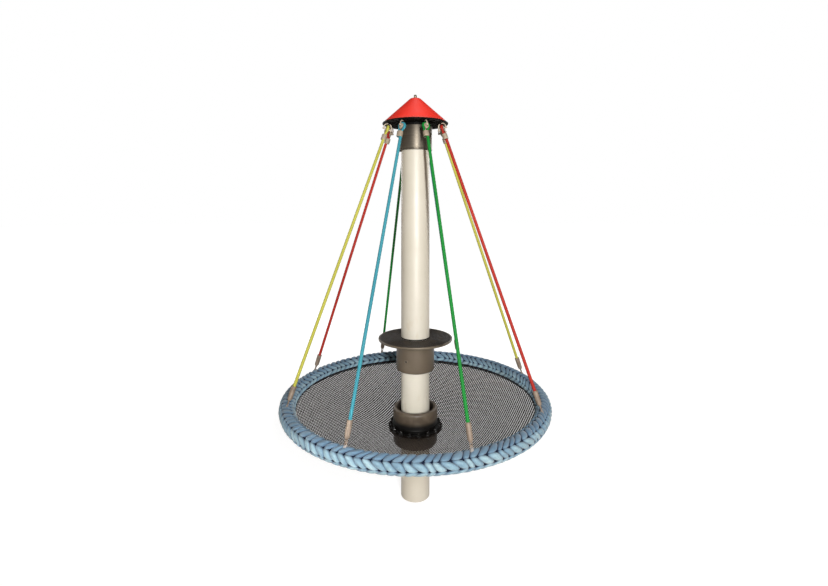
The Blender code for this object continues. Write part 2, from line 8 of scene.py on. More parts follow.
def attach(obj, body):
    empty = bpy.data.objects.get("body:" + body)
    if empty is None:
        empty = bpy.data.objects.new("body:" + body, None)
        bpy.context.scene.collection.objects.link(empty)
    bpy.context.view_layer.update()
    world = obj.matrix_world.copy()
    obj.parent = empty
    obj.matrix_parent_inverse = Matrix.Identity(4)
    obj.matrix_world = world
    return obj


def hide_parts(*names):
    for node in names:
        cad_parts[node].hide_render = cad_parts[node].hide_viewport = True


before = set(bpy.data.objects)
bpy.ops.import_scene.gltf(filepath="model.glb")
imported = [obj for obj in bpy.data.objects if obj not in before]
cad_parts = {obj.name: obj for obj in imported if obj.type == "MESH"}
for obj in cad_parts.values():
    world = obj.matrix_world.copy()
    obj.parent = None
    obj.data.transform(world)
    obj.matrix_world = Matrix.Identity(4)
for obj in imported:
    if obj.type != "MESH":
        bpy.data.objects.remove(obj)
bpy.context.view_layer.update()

EAST = Vector((1, 0, 0))
NORTH = Vector((0, 1, 0))
UP = Vector((0, 0, 1))

# The camera of the photograph
PHOTO_WIDTH = 828
FOCAL_PIXELS = 452.25
SENSOR = 36.0
CAMERA_BACK = 2.6909
CAMERA_HEIGHT = 1.68
SHIFT_RIGHT = -1.3 / PHOTO_WIDTH
SHIFT_DOWN = -81.87 / PHOTO_WIDTH

# Mast
POST_RADIUS = 0.08415
POST_BORE = 0.07915
POST_FLOOR = 0.010
POST_TOP = 2.150
HEAD_RADIUS = 0.0838
HEAD_PLUG = 0.0788
HEAD_BOTTOM = 2.120
HEAD_TOP = 2.160
SPINDLE_RADIUS = 0.020
SPINDLE_TOP = 2.225
PLATE_BORE = 0.08445
PLATE_RADIUS = 0.2186
PLATE_BOTTOM = 0.9200
PLATE_HOLLOW = 0.9215
TREAD_TOP = 0.932
TREAD_SEAT = TREAD_TOP - 0.0016
TREAD_INNER = 0.0870
TREAD_OUTER = 0.2094
FIRST_GROOVE = 0.0940
LAST_GROOVE = 0.2054
GROOVE_PITCH = 0.0102
GROOVE_WIDTH = 0.0026
GROOVE_SLOPE = 0.0006
GROOVE_DEPTH = 0.0009
HUB_RADIUS = 0.1120
HUB_SHOULDER = 0.1150
HUB_TOP = 0.9197
HUB_BOTTOM = 0.744
SCREW_TURN = math.radians(-28.3)
SCREW_HEIGHT = 0.815

# Cap and bearing
SLEEVE_RADIUS = 0.0999
SLEEVE_GROOVE = 0.0990
SLEEVE_BORE = 0.0915
SLEEVE_TOP = 2.179
SLEEVE_BOTTOM = 2.038
LIP_BOTTOM = 2.0372
SEAL_RADIUS = 0.0975
SEAL_GROOVE = 0.0962
SEAL_BORE = 0.070
SEAL_TOP = 2.1952
SEAL_BOTTOM = 2.1793
DISC_RADIUS = 0.1957
DISC_TOP = 2.2010
DISC_HOLLOW = 2.1962
BOSS_RADIUS = 0.045
BOSS_BOTTOM = 2.1603
BOSS_BORE = 0.0206
BOSS_BORE_TOP = 2.2285
RIBS = 24
RIB_TURN = math.radians(-2.7)
RIB_ROOT = 2.1966
CONE_RADIUS = 0.1840
CONE_INSIDE = 0.1810
CONE_BOTTOM = 2.2013
CONE_FLAT = 0.0300
STUD_RADIUS = 0.005
STUD_HOLE = 0.0053
NUT_RADIUS = 0.0104
NUT_WASHER = 0.0142

# Rope stations, as the solids have them
STATIONS = 8
STATION_STEP = 2 * math.pi / STATIONS
FIRST_STATION = math.radians(-70.2)
EYE_RADIUS_OUT = 0.175
EYE_HEIGHT = 2.156
FOOT_RADIUS_OUT = 0.730
FOOT_HEIGHT = 0.643
ROPE_ORDER = ("yellow", "blue", "green", "red")

# Laid rope. Its two legs lie beside each other in the ferrule.
ROPE_RADIUS = 0.009
ROPE_PRESSED = 0.0075
MAIN_LEG = 0.0022
TAIL_LEG = -0.0132
STRANDS = 6
STRAND_DEPTH = 0.17
LAY_LENGTH = 0.125
ROPE_AROUND = 30
ROPE_STEP = 0.0055
EYE_BEND = 0.016
EYE_LEG_START = 0.0305
EYE_STEPS = 22
ROPE_SWELL = 0.008
ROPE_SINK = 0.014
TAIL_END = 0.0672

# Fittings of a rope, with places along it from its upper or lower eye
FERRULE_TOP = 0.0328
FERRULE_BOTTOM = 0.066
FERRULE_SIDE = (MAIN_LEG + TAIL_LEG) / 2
FERRULE_WIDE = 0.0170
FERRULE_DEEP = 0.0150
FERRULE_SQUARE = 2.35
LEG_STEPS = (FERRULE_BOTTOM - 0.004, 0.052, 0.044, EYE_LEG_START + 0.006)
SHACKLE_HALF = 0.022
SHACKLE_STRAIGHT = 0.0114
SHACKLE_BAR = 0.0035
SHACKLE_END = 0.004
THIMBLE_BORE = 0.0060
THIMBLE_POINT = 0.0085
THIMBLE_LEAN = 0.22
LUG_MIDDLE = -0.0330
LUG_ROUND = 0.0088
LUG_ROOT = 0.0130
LUG_HALF = 0.0092
LUG_EDGE = 0.86
LUG_CROWN = 0.0003
FITTING_TOP = 0.093
FITTING_WIDE = 0.0143
FITTING_TAPER = 0.012
TAPER_START = -0.0905
LINK_STRETCH = 1.22
STRAP_BEND = 0.0048
STRAP_TOP = 0.0162

# Ring and its plaited cover. A leaf shape is its foot, its lift and its half width.
RING_RADIUS = 0.734
RING_HEIGHT = 0.581
CORE_RADIUS = 0.0355
ROW_STARTS = (-18.3, 41.7, 112.0, 166.0, 221.7, 281.7, 341.7)
LEAF_ROWS = len(ROW_STARTS) - 1
LEAVES_ROUND = 110
LEAF_SLANT = 0.95
LEAF_SHAPES = ((0.0325, 0.0130, 0.535), (0.0320, 0.0122, 0.505), (0.0310, 0.0116, 0.505),
               (0.0325, 0.0130, 0.525), (0.0385, 0.0062, 0.545), (0.0385, 0.0062, 0.545))
LEAF_END = 0.45
LEAF_REACH = 1.13
LEAF_POINT = 3.6
LEAF_NECK = 0.16
LEAF_ALONG = 8
LEAF_ACROSS = 6
LEAF_SEED = 7
LEAF_WANDER = 0.0030
WANDER_GRAIN = 24.0
LEAF_SLIDE = 0.05
SLIDE_GRAIN = 12.0

# Net, with its cone as points of radius and height
NET_PITCH = 0.0128
NET_CORD = 0.0038
NET_FLATNESS = 0.04
NET_TURN = math.radians(64.8)
NET_INNER = 0.143
NET_OUTER = 0.716
NET_HALF_SPAN = 0.728
NET_STEP = 0.024
NET_CROSSING = 0.0005
NET_CLAMP = (0.162, 0.4088)
NET_MIDDLE = (0.420, 0.4830)
NET_EDGE = (0.6895, 0.5650)
NET_RISE = 0.004
NET_SLOPE = (NET_EDGE[1] - NET_CLAMP[1]) / (NET_EDGE[0] - NET_CLAMP[0])
HEM_RADIUS = 0.0042

# Collar and clamp
COLLAR_BORE = 0.108
COLLAR_RADIUS = 0.1315
COLLAR_BEAD = 0.1330
COLLAR_TOP = 0.5235
COLLAR_SPLIT = 0.4068
LOWER_TOP = 0.4065
LOWER_RADIUS = 0.1300
LOWER_BOTTOM = 0.316
FLANGE_RADIUS = 0.158
FLANGE_BOTTOM = 0.3985
CLAMP_INNER = 0.1318
CLAMP_OUTER = 0.1495
CLAMP_TOP = 0.4191
CLAMP_BOTTOM = 0.4111
CLAMP_NUTS = 18
FIRST_NUT = math.radians(-82.6)
NUT_CIRCLE = 0.1475

# Studio. A softbox has a name, place, aim, size, power in watts and spread in degrees.
WORLD_AROUND = 0.04
WORLD_FRONT = 0.15
WORLD_BELOW = 0.38
WORLD_TINT = (1.0, 0.82, 0.66, 1.0)
WHITE = (1.0, 1.0, 1.0, 1.0)
SOFTBOXES = (
    ("front_strip", (0.75, -4.6, 2.15), (0, 0, 0.7), (0.22, 1.9), 268, 180),
    ("cap_light", (0.12, 0.35, 4.4), (0, 0, 2.3), (0.35, 0.6), 0.42, 34),
    ("low_fill", (-1.25, -2.15, 1.0), (0, 0, 0.53), (0.5, 0.3), 0.42, 23),
    ("back_left", (-2.7, 4.1, 3.0), (0, 0, 1.1), (2.4, 2.4), 85, 180),
    ("back_right", (2.7, 4.1, 3.0), (0, 0, 1.1), (2.4, 2.4), 85, 180),
)
FLOOR_LEVEL = -0.0006
FLOOR_RADII = (0.0, 1.0, 3.0, 8.0, 20.0, 60.0)
FLOOR_GLOW = 0.80
GLOW_NEAR = 1.4
GLOW_FAR = 4.5

FINISHES = {}


def linear(colour):
    """An sRGB colour of 0 to 255 as the shader wants it."""
    def channel(value):
        share = value / 255
        return share / 12.92 if share <= 0.04045 else ((share + 0.055) / 1.055) ** 2.4
    return (*(channel(value) for value in colour), 1.0)


class Wiring:
    """Adds nodes to a tree and joins their sockets."""

    def __init__(self, tree):
        self.tree = tree

    def add(self, kind, feeds=None, **settings):
        node = self.tree.nodes.new(kind)
        for name, value in settings.items():
            setattr(node, name, value)
        for name, value in (feeds or {}).items():
            self.feed(node.inputs[name], value)
        return node

    def made(self, kind, feeds=None, **settings):
        """The first output of a new node."""
        return self.add(kind, feeds, **settings).outputs[0]

    def feed(self, socket, value):
        if isinstance(value, bpy.types.NodeSocket):
            self.tree.links.new(value, socket)
        else:
            socket.default_value = value

    def maths(self, operation, first, second, clamp=False):
        return self.made("ShaderNodeMath", {0: first, 1: second}, operation=operation, use_clamp=clamp)

    def times(self, first, second, clamp=False):
        return self.maths("MULTIPLY", first, second, clamp)

    def plus(self, first, second, clamp=False):
        return self.maths("ADD", first, second, clamp)

    def mixed(self, first, share, second):
        """A share of the first value and the rest of the second."""
        return self.plus(self.times(first, share), self.times(second, 1 - share))

    def vector(self, operation, first, second=None, scale=None):
        feeds = {0: first, 1: second, "Scale": scale}
        given = {name: value for name, value in feeds.items() if value is not None}
        node = self.add("ShaderNodeVectorMath", given, operation=operation)
        return node.outputs["Value" if operation == "LENGTH" else "Vector"]

    def combined(self, **axes):
        return self.made("ShaderNodeCombineXYZ", axes)

    def split(self, place):
        return self.add("ShaderNodeSeparateXYZ", {0: place}).outputs

    def level(self, place):
        """A place without its height."""
        axes = self.split(place)
        return self.combined(X=axes["X"], Y=axes["Y"])

    def spread(self, value, low, high, start=0.0, end=1.0, clamp=True):
        feeds = {"Value": value, "From Min": low, "From Max": high, "To Min": start, "To Max": end}
        return self.made("ShaderNodeMapRange", feeds, clamp=clamp)

    def blend(self, share, first, second):
        node = self.add("ShaderNodeMix", {0: share, 6: first, 7: second}, data_type="RGBA")
        return node.outputs[2]


class Finish(Wiring):
    """One procedural material, kept in FINISHES under its name."""

    def __init__(self, name, roughness, metallic=0.0, shine=0.5, sheen=0.0):
        material = bpy.data.materials.new(name)
        material.use_nodes = True
        FINISHES[name] = material
        super().__init__(material.node_tree)
        self.shader = self.tree.nodes["Principled BSDF"].inputs
        self.shader["Metallic"].default_value = metallic
        self.shader["Roughness"].default_value = roughness
        self.shader["Specular IOR Level"].default_value = shine
        self.shader["Sheen Weight"].default_value = sheen
        self.place = self.add("ShaderNodeTexCoord").outputs["Object"]
        self.normal = None

    def fabric(self):
        return self.made("ShaderNodeUVMap", uv_map="UVMap")

    def stretched(self, scale, source=None):
        return self.made("ShaderNodeMapping", {"Vector": source or self.place, "Scale": scale})

    def grain(self, scale, detail=3.0, source=None):
        feeds = {"Vector": source or self.place, "Scale": scale, "Detail": detail}
        return self.add("ShaderNodeTexNoise", feeds).outputs["Fac"]

    def attribute(self, name):
        return self.add("ShaderNodeAttribute", attribute_name=name).outputs["Fac"]

    def height(self, low, high):
        """0 at the height low and 1 at the height high, in metres above the ground."""
        return self.spread(self.split(self.place)["Z"], low, high)

    def shades(self, value, *stops):
        """A colour ramp of (place, sRGB colour) stops."""
        node = self.add("ShaderNodeValToRGB", {"Fac": value})
        ramp = node.color_ramp
        while len(ramp.elements) < len(stops):
            ramp.elements.new(0.5)
        for element, (place, colour) in zip(ramp.elements, stops):
            element.position = place
            element.color = linear(colour)
        return node.outputs["Color"]

    def toward(self, tone, colour, share):
        """A tone that turns into an sRGB colour by a share."""
        return self.blend(share, tone, linear(colour))

    def relief(self, value, depth, strength):
        """Small bumps on top of those that are there."""
        feeds = {"Height": value, "Distance": depth, "Strength": strength}
        if self.normal:
            feeds["Normal"] = self.normal
        self.normal = self.add("ShaderNodeBump", feeds).outputs["Normal"]

    def rough_from(self, value, low, high):
        self.feed(self.shader["Roughness"], self.spread(value, 0.3, 0.7, low, high))

    def done(self, colour):
        self.feed(self.shader["Base Color"], colour)
        if self.normal:
            self.feed(self.shader["Normal"], self.normal)


def post_paint():
    """Cream powder coat with a faint peel, rubbed a little above the plate and the collar."""
    paint = Finish("post_paint", 0.46, shine=0.8)
    tone = paint.shades(paint.grain(5.0, 4.0), (0.3, (196, 190, 174)), (0.7, (204, 198, 184)))
    rub = paint.grain(30.0, 6.0, paint.stretched((1.0, 1.0, 0.35)))
    above_plate = paint.times(paint.height(1.12, 0.93), paint.height(0.90, 0.94))
    above_collar = paint.times(paint.height(0.66, 0.53), paint.height(0.40, 0.50))
    zone = paint.plus(above_plate, above_collar, True)
    worn = paint.times(zone, paint.spread(rub, 0.56, 0.66), True)
    tone = paint.toward(tone, (188, 172, 146), paint.times(worn, 0.5))
    paint.relief(paint.grain(650.0, 2.0), 0.00012, 0.35)
    paint.rough_from(rub, 0.42, 0.54)
    paint.done(tone)


def cap_red():
    """Moulded red cover with painted shade that darkens its lip, and fine handling marks."""
    red = Finish("cap_red", 0.38, shine=0.35)
    cloud = red.grain(14.0, 5.0)
    tone = red.shades(cloud, (0.3, (242, 44, 28)), (0.7, (250, 56, 38)))
    # Painted shade: the lip turns towards a dull brownish red.
    tone = red.toward(tone, (150, 62, 54), red.times(red.height(2.2125, 2.2085), 0.5))
    red.relief(red.grain(420.0, 2.0), 0.0002, 0.4)
    red.rough_from(cloud, 0.50, 0.62)
    red.done(tone)


def black_coat(name, base, pale, roughness, shine):
    """Black coated casting: fine orange peel, and dust that lies in patches."""
    coat = Finish(name, roughness, shine=shine)
    dust = coat.grain(22.0, 6.0)
    coat.relief(coat.grain(500.0), 0.0003, 0.5)
    coat.rough_from(dust, roughness - 0.08, roughness + 0.1)
    coat.done(coat.shades(dust, (0.42, base), (0.75, pale)))


def collar_coat():
    """Brown moulding with painted shade: dark in its bore, and running to black where it meets the clamp."""
    coat = Finish("collar_brown", 0.42, shine=0.35)
    dust = coat.grain(22.0, 6.0)
    tone = coat.shades(dust, (0.42, (80, 69, 57)), (0.75, (98, 87, 74)))
    radius = coat.vector("LENGTH", coat.level(coat.place))
    # Painted shade: the tone darkens towards the bore, where the collar's mouth lies in shade.
    tone = coat.toward(tone, (30, 25, 20), coat.spread(radius, 0.1135, 0.1090, 0.0, 0.8))
    # Painted shade: a band that runs to black just above the clamp, where the collar's lower part is in
    # shade.
    band = coat.times(coat.height(0.474, 0.452), coat.height(0.400, 0.408))
    tone = coat.toward(tone, (9, 8, 6), band)
    coat.relief(coat.grain(500.0), 0.0003, 0.5)
    coat.rough_from(dust, 0.36, 0.52)
    coat.done(tone)


def turned_metal(name, dark, light, roughness, metallic, around):
    """Metal with fine marks that run round the mast's axis."""
    metal = Finish(name, roughness, metallic)
    marks = metal.grain(1.0, 5.0, metal.stretched((2.5, 2.5, around)))
    both = metal.mixed(marks, 0.55, metal.grain(9.0, 5.0))
    metal.relief(marks, 0.0002, 0.35)
    metal.rough_from(marks, roughness - 0.06, roughness + 0.08)
    metal.done(metal.shades(both, (0.32, dark), (0.68, light)))


def cast_metal(name, dark, light, roughness, metallic, grit):
    """Dull cast or pressed metal, with mottled tone and a gritty skin."""
    metal = Finish(name, roughness, metallic)
    blotch = metal.grain(45.0, 6.0)
    metal.relief(metal.grain(grit, 4.0), 0.0004, 0.45)
    metal.rough_from(blotch, roughness - 0.08, roughness + 0.1)
    metal.done(metal.shades(blotch, (0.3, dark), (0.7, light)))


def hub_cast():
    """Smooth dark casting of the hub, with a painted shadow close under the plate."""
    metal = Finish("hub_metal", 0.42, 0.25)
    cloud = metal.grain(12.0, 5.0)
    tone = metal.shades(cloud, (0.3, (94, 83, 69)), (0.7, (103, 91, 76)))
    # Painted shadow: a darker band at the top of the hub, where the foot plate shades it.
    tone = metal.toward(tone, (46, 38, 31), metal.times(metal.height(0.880, 0.890), 0.5))
    metal.relief(metal.grain(500.0), 0.0002, 0.35)
    metal.rough_from(cloud, 0.38, 0.50)
    metal.done(tone)


def rope_fibre(name, shade, body, light):
    """Laid fibre rope: yarns run along each strand, and painted shade darkens the grooves."""
    rope = Finish(name, 0.62, shine=0.3)
    yarn = rope.grain(1.0, 3.0, rope.stretched((90.0, 260.0, 1.0), rope.fabric()))
    both = rope.mixed(yarn, 0.6, rope.grain(3.5))
    tone = rope.shades(both, (0.36, body), (0.66, light))
    # Painted shade: the shade colour fills the grooves between strands, where crest is low.
    tone = rope.toward(tone, shade, rope.spread(rope.attribute("crest"), 0.0, 0.75, 0.85, 0.0))
    rope.relief(yarn, 0.0006, 0.5)
    rope.done(tone)


def braid_cloth():
    """Stretched knit of the plaited cover: streaks along each leaf, with painted shade: darker leaf edges, a
    darker top and navy in the creases.
    """
    cloth = Finish("braid_blue", 0.78, shine=0.25, sheen=0.25)
    fabric = cloth.fabric()
    crest = cloth.attribute("crest")
    patch = cloth.mixed(cloth.grain(6.0), 0.4, cloth.grain(70.0))
    both = cloth.mixed(cloth.attribute("leaf_tone"), 0.35, patch)
    tone = cloth.shades(both, (0.28, (116, 147, 166)), (0.5, (141, 172, 185)), (0.72, (165, 192, 199)))
    streak = cloth.grain(1.0, 4.0, cloth.stretched((26.0, 3.0, 1.0), fabric))
    # Painted shade: each leaf darkens from its crown towards its edges.
    tone = cloth.toward(tone, (80, 108, 136), cloth.spread(crest, 0.6, 1.0, 0.42, 0.0))
    tone = cloth.toward(tone, (72, 100, 126), cloth.spread(streak, 0.50, 0.72, 0.0, 0.5))
    # Painted shade: the top of the ring is darker, as if turned away from the light.
    tone = cloth.toward(tone, (80, 108, 134), cloth.times(cloth.height(0.598, 0.616), 0.7))
    # Painted shade: navy in the creases between the leaves.
    tone = cloth.toward(tone, (26, 45, 78), cloth.spread(crest, 0.05, 0.70, 0.92, 0.0))
    cloth.relief(cloth.grain(900.0, 2.0), 0.0004, 0.4)
    ribs = {"Vector": fabric, "Scale": 4.2, "Distortion": 1.2}
    cloth.relief(cloth.add("ShaderNodeTexWave", ribs, bands_direction="X").outputs["Fac"], 0.0009, 0.5)
    cloth.done(tone)


def net_cord():
    """Coated net cord, dark brown, a little paler where it is worn."""
    cord = Finish("net_grey", 0.8, shine=0.1)
    both = cord.mixed(cord.grain(60.0, 4.0), 0.5, cord.grain(3.0, 2.0))
    cord.relief(cord.grain(1100.0, 2.0), 0.0003, 0.5)
    cord.done(cord.shades(both, (0.35, (27, 19, 14)), (0.65, (41, 30, 22))))


def woven(name, dark, light, low=0.35, roughness=0.8, scale=600.0, detail=2.0, depth=0.0004, strength=0.6):
    """Webbing or plain cloth with a fine weave. low is where its dark tone ends."""
    cloth = Finish(name, roughness, shine=0.2)
    weave = cloth.grain(scale, detail)
    cloth.relief(weave, depth, strength)
    cloth.done(cloth.shades(weave, (low, dark), (1 - low, light)))


def make_finishes():
    post_paint()
    cap_red()
    black_coat("cap_black", (6, 4, 3), (14, 10, 8), 0.6, 0.08)
    black_coat("clamp_black", (6, 5, 4), (14, 12, 10), 0.5, 0.2)
    black_coat("clamp_nut_black", (14, 12, 11), (28, 25, 22), 0.2, 1.0)
    black_coat("foot_plate_black", (38, 31, 25), (60, 50, 41), 0.58, 0.25)
    black_coat("seal_black", (6, 5, 5), (14, 12, 11), 0.6, 0.1)
    collar_coat()
    turned_metal("plate_rim", (80, 71, 59), (116, 105, 89), 0.42, 0.35, 180.0)
    hub_cast()
    turned_metal("head_steel", (150, 140, 124), (190, 178, 160), 0.35, 0.9, 260.0)
    turned_metal("sleeve_metal", (78, 72, 64), (106, 98, 86), 0.42, 0.8, 300.0)
    cast_metal("nut_steel", (150, 136, 116), (196, 182, 160), 0.34, 0.8, 300.0)
    cast_metal("screw_steel", (12, 10, 8), (22, 19, 16), 0.55, 0.1, 300.0)
    cast_metal("shackle_steel", (164, 150, 132), (206, 192, 172), 0.5, 0.2, 300.0)
    cast_metal("ferrule_metal", (136, 122, 104), (172, 158, 138), 0.6, 0.1, 240.0)
    cast_metal("fitting_metal", (116, 101, 88), (150, 134, 118), 0.6, 0.15, 240.0)
    rope_fibre("rope_yellow", (112, 104, 28), (172, 170, 60), (200, 198, 88))
    rope_fibre("rope_blue", (14, 70, 86), (42, 130, 146), (72, 160, 174))
    rope_fibre("rope_green", (3, 54, 18), (3, 118, 38), (10, 144, 52))
    rope_fibre("rope_red", (84, 12, 8), (164, 32, 20), (192, 50, 34))
    braid_cloth()
    # Painted shade: the core's near-black navy stands for the shade in the gaps between leaves.
    woven("braid_core", (10, 19, 36), (20, 34, 56), 0.3, 0.85, 700.0, 3.0, 0.0005, 0.5)
    net_cord()
    woven("net_hem", (20, 20, 26), (38, 38, 46))
    woven("foot_strap", (134, 130, 128), (160, 156, 152))


def plain_mesh(work, name):
    """A mesh of the work's faces, all turned outwards."""
    bmesh.ops.recalc_face_normals(work, faces=work.faces)
    mesh = bpy.data.meshes.new(name)
    work.to_mesh(mesh)
    work.free()
    return mesh


def shell(rings, closed_along=False, caps=True, fabric=None):
    """A skin over rings of points. A ring of one point is a pole. fabric gives a UV for ring and point."""
    work = bmesh.new()
    rows = [[work.verts.new(point) for point in ring] for ring in rings]
    layer = work.loops.layers.uv.new("UVMap") if fabric else None
    for index in range(len(rows) if closed_along else len(rows) - 1):
        first, second = rows[index], rows[(index + 1) % len(rows)]
        for step in range(max(len(first), len(second))):
            corners = {}
            for row, ring, point in ((first, index, step), (second, index + 1, step),
                                     (second, index + 1, step + 1), (first, index, step + 1)):
                corners.setdefault(row[point % len(row)], (ring, point))
            face = work.faces.new(list(corners))
            if layer:
                for loop, (ring, point) in zip(face.loops, corners.values()):
                    loop[layer].uv = fabric(ring, point)
    if caps and not closed_along:
        for row in (rows[0], rows[-1]):
            if len(row) > 2:
                work.faces.new(row)
    return plain_mesh(work, "shell")


def smooth(mesh, angle=40):
    """Smooth shading that stays sharp over edges steeper than the angle."""
    mesh.shade_smooth()
    mesh.set_sharp_from_angle(angle=math.radians(angle))
    return mesh


def softened(profile, closed, steps):
    """A profile whose corners (radius, height, rounding) are rounded off."""
    count = len(profile)
    points = []
    for index, corner in enumerate(profile):
        here = Vector(corner[:2])
        rounding = corner[2] if len(corner) > 2 else 0
        if rounding == 0 or (not closed and index in (0, count - 1)):
            points.append(here)
            continue
        before = Vector(profile[index - 1][:2]) - here
        after = Vector(profile[(index + 1) % count][:2]) - here
        start = here + before.normalized() * min(rounding, before.length * 0.49)
        end = here + after.normalized() * min(rounding, after.length * 0.49)
        for step in range(steps + 1):
            share = step / steps
            points.append(start.lerp(here, share).lerp(here.lerp(end, share), share))
    return points


def turns(count):
    """Even angles of one full turn."""
    return [2 * math.pi * index / count for index in range(count)]


def circle(radius, points):
    return [(radius * math.cos(angle), radius * math.sin(angle)) for angle in turns(points)]


def round_rings(levels, points, start=Vector(), along=UP, across=EAST, up=NORTH):
    """Circles of (radius, distance) levels about a line. A circle without size is one point."""
    rings = []
    for radius, distance in levels:
        centre = start + along * distance
        ring = circle(radius, points) if radius > 0 else [(0, 0)]
        rings.append([centre + across * x + up * y for x, y in ring])
    return rings


def turned(profile, segments=96, closed=True, steps=3):
    """A rounded profile turned once round the mast's axis."""
    return smooth(shell(round_rings(softened(profile, closed, steps), segments), closed))


def hoop(radius, height, thickness, points):
    """A ring round the mast's axis with a round section."""
    return turned([(radius + x, height + y) for x, y in circle(thickness, points)], 144)


def swept(path, outline, normal, closed=False, factors=None, twist=0.0):
    """An outline of (x, y) points carried along a path without needless turning."""
    count = len(path)
    tangents = []
    for index in range(count):
        before = path[index - 1] if closed or index else path[0]
        after = path[(index + 1) % count] if closed or index < count - 1 else path[-1]
        tangents.append((after - before).normalized())
    rings = []
    run = 0.0
    for index, tangent in enumerate(tangents):
        normal = (normal - tangent * normal.dot(tangent)).normalized()
        side = tangent.cross(normal)
        if index:
            run += (path[index] - path[index - 1]).length
        scale = factors[index] if factors else 1.0
        cosine, sine = math.cos(twist * run), math.sin(twist * run)
        rings.append([
            path[index] + normal * scale * (x * cosine - y * sine) + side * scale * (x * sine + y * cosine)
            for x, y in outline
        ])
    return rings


def stacked(levels, place, points, middle=0.0):
    """A skin over rounded sections (down, half width, half depth, squareness) along a rope."""
    rings = []
    for down, wide, deep, square in levels:
        ring = []
        for cosine, sine in circle(1.0, points):
            x = math.copysign(abs(cosine) ** (2 / square), cosine) * wide
            y = math.copysign(abs(sine) ** (2 / square), sine) * deep
            ring.append(place(middle + x, down, y))
        rings.append(ring)
    return smooth(shell(rings))


def hairpin(place, downs, top, half, steps):
    """A path up one side, round half a circle and down the other side."""
    path = [place(0, down, half) for down in downs]
    for index in range(steps + 1):
        angle = math.pi * index / steps
        path.append(place(0, top - half * math.sin(angle), half * math.cos(angle)))
    return path + [place(0, down, -half) for down in reversed(downs)]


def joined(meshes):
    """Several meshes as one, with their UV maps and attributes."""
    work = bmesh.new()
    for mesh in meshes:
        work.from_mesh(mesh)
    result = bpy.data.meshes.new("joined")
    work.to_mesh(result)
    work.free()
    return result


def placed(name, data):
    """A new object in the scene."""
    item = bpy.data.objects.new(name, data)
    bpy.context.scene.collection.objects.link(item)
    return item


def piece(name, mesh, finish, body, replaced=()):
    """Puts a finished mesh into the scene, on its body."""
    mesh.name = name
    mesh.materials.clear()
    mesh.materials.append(FINISHES[finish])
    item = placed(name, mesh)
    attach(item, body)
    if replaced:
        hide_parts(*replaced)
    return item


def at_stations(name, mesh, finishes, node=None):
    """A copy of the first station's mesh at each rope station."""
    for index in range(STATIONS):
        copy = mesh.copy()
        copy.transform(Matrix.Rotation(index * STATION_STEP, 4, "Z"))
        replaced = [f"{node}_{index + 1}"] if node else ()
        piece(f"{name}_{index + 1}", copy, finishes[index % len(finishes)], "rotor", replaced)


class Station:
    """Axes of the first rope: across it, down along it, and outwards square to both."""

    def __init__(self):
        outward = Vector((math.sin(FIRST_STATION), -math.cos(FIRST_STATION), 0))
        self.across = Vector((math.cos(FIRST_STATION), math.sin(FIRST_STATION), 0))
        self.eye = outward * EYE_RADIUS_OUT + UP * EYE_HEIGHT
        self.foot = outward * FOOT_RADIUS_OUT + UP * FOOT_HEIGHT
        self.down = (self.foot - self.eye).normalized()
        self.length = (self.foot - self.eye).length
        self.out = -self.across.cross(self.down)

    def top(self, across=0.0, down=0.0, out=0.0):
        return self.eye + self.across * across + self.down * down + self.out * out

    def low(self, across=0.0, down=0.0, out=0.0):
        return self.foot + self.across * across + self.down * down + self.out * out

    def button(self, levels):
        """A round body of (radius, out) levels about the shackle's pin."""
        return smooth(shell(round_rings(levels, 24, self.eye, self.out, self.across, self.down)))


def geometry_tree(name, sizes, counts=()):
    """A Geometry Nodes tree with named inputs, and the sockets that give them."""
    tree = bpy.data.node_groups.new(name, "GeometryNodeTree")
    tree.interface.new_socket("Geometry", in_out="INPUT", socket_type="NodeSocketGeometry")
    for label in sizes:
        tree.interface.new_socket(label, in_out="INPUT", socket_type="NodeSocketFloat")
    for label in counts:
        tree.interface.new_socket(label, in_out="INPUT", socket_type="NodeSocketInt")
    tree.interface.new_socket("Geometry", in_out="OUTPUT", socket_type="NodeSocketGeometry")
    wires = Wiring(tree)
    return wires, wires.add("NodeGroupInput").outputs


def end_tree(wires, geometry, finish):
    """Ends a tree in real geometry with its material."""
    real = wires.made("GeometryNodeRealizeInstances", {"Geometry": geometry})
    dressed = wires.made("GeometryNodeSetMaterial", {"Geometry": real, "Material": FINISHES[finish]})
    wires.feed(wires.add("NodeGroupOutput").inputs[0], dressed)
    return wires.tree


def grown(name, seed_mesh, tree, values):
    """The plain mesh that a tree makes of a seed mesh."""
    item = placed(name, seed_mesh)
    modifier = item.modifiers.new(name, "NODES")
    modifier.node_group = tree
    for socket in tree.interface.items_tree:
        if socket.item_type == "SOCKET" and socket.in_out == "INPUT" and socket.name in values:
            modifier[socket.identifier] = values[socket.name]
    graph = bpy.context.evaluated_depsgraph_get()
    graph.update()
    mesh = bpy.data.meshes.new_from_object(item.evaluated_get(graph))
    bpy.data.objects.remove(item, do_unlink=True)
    return mesh


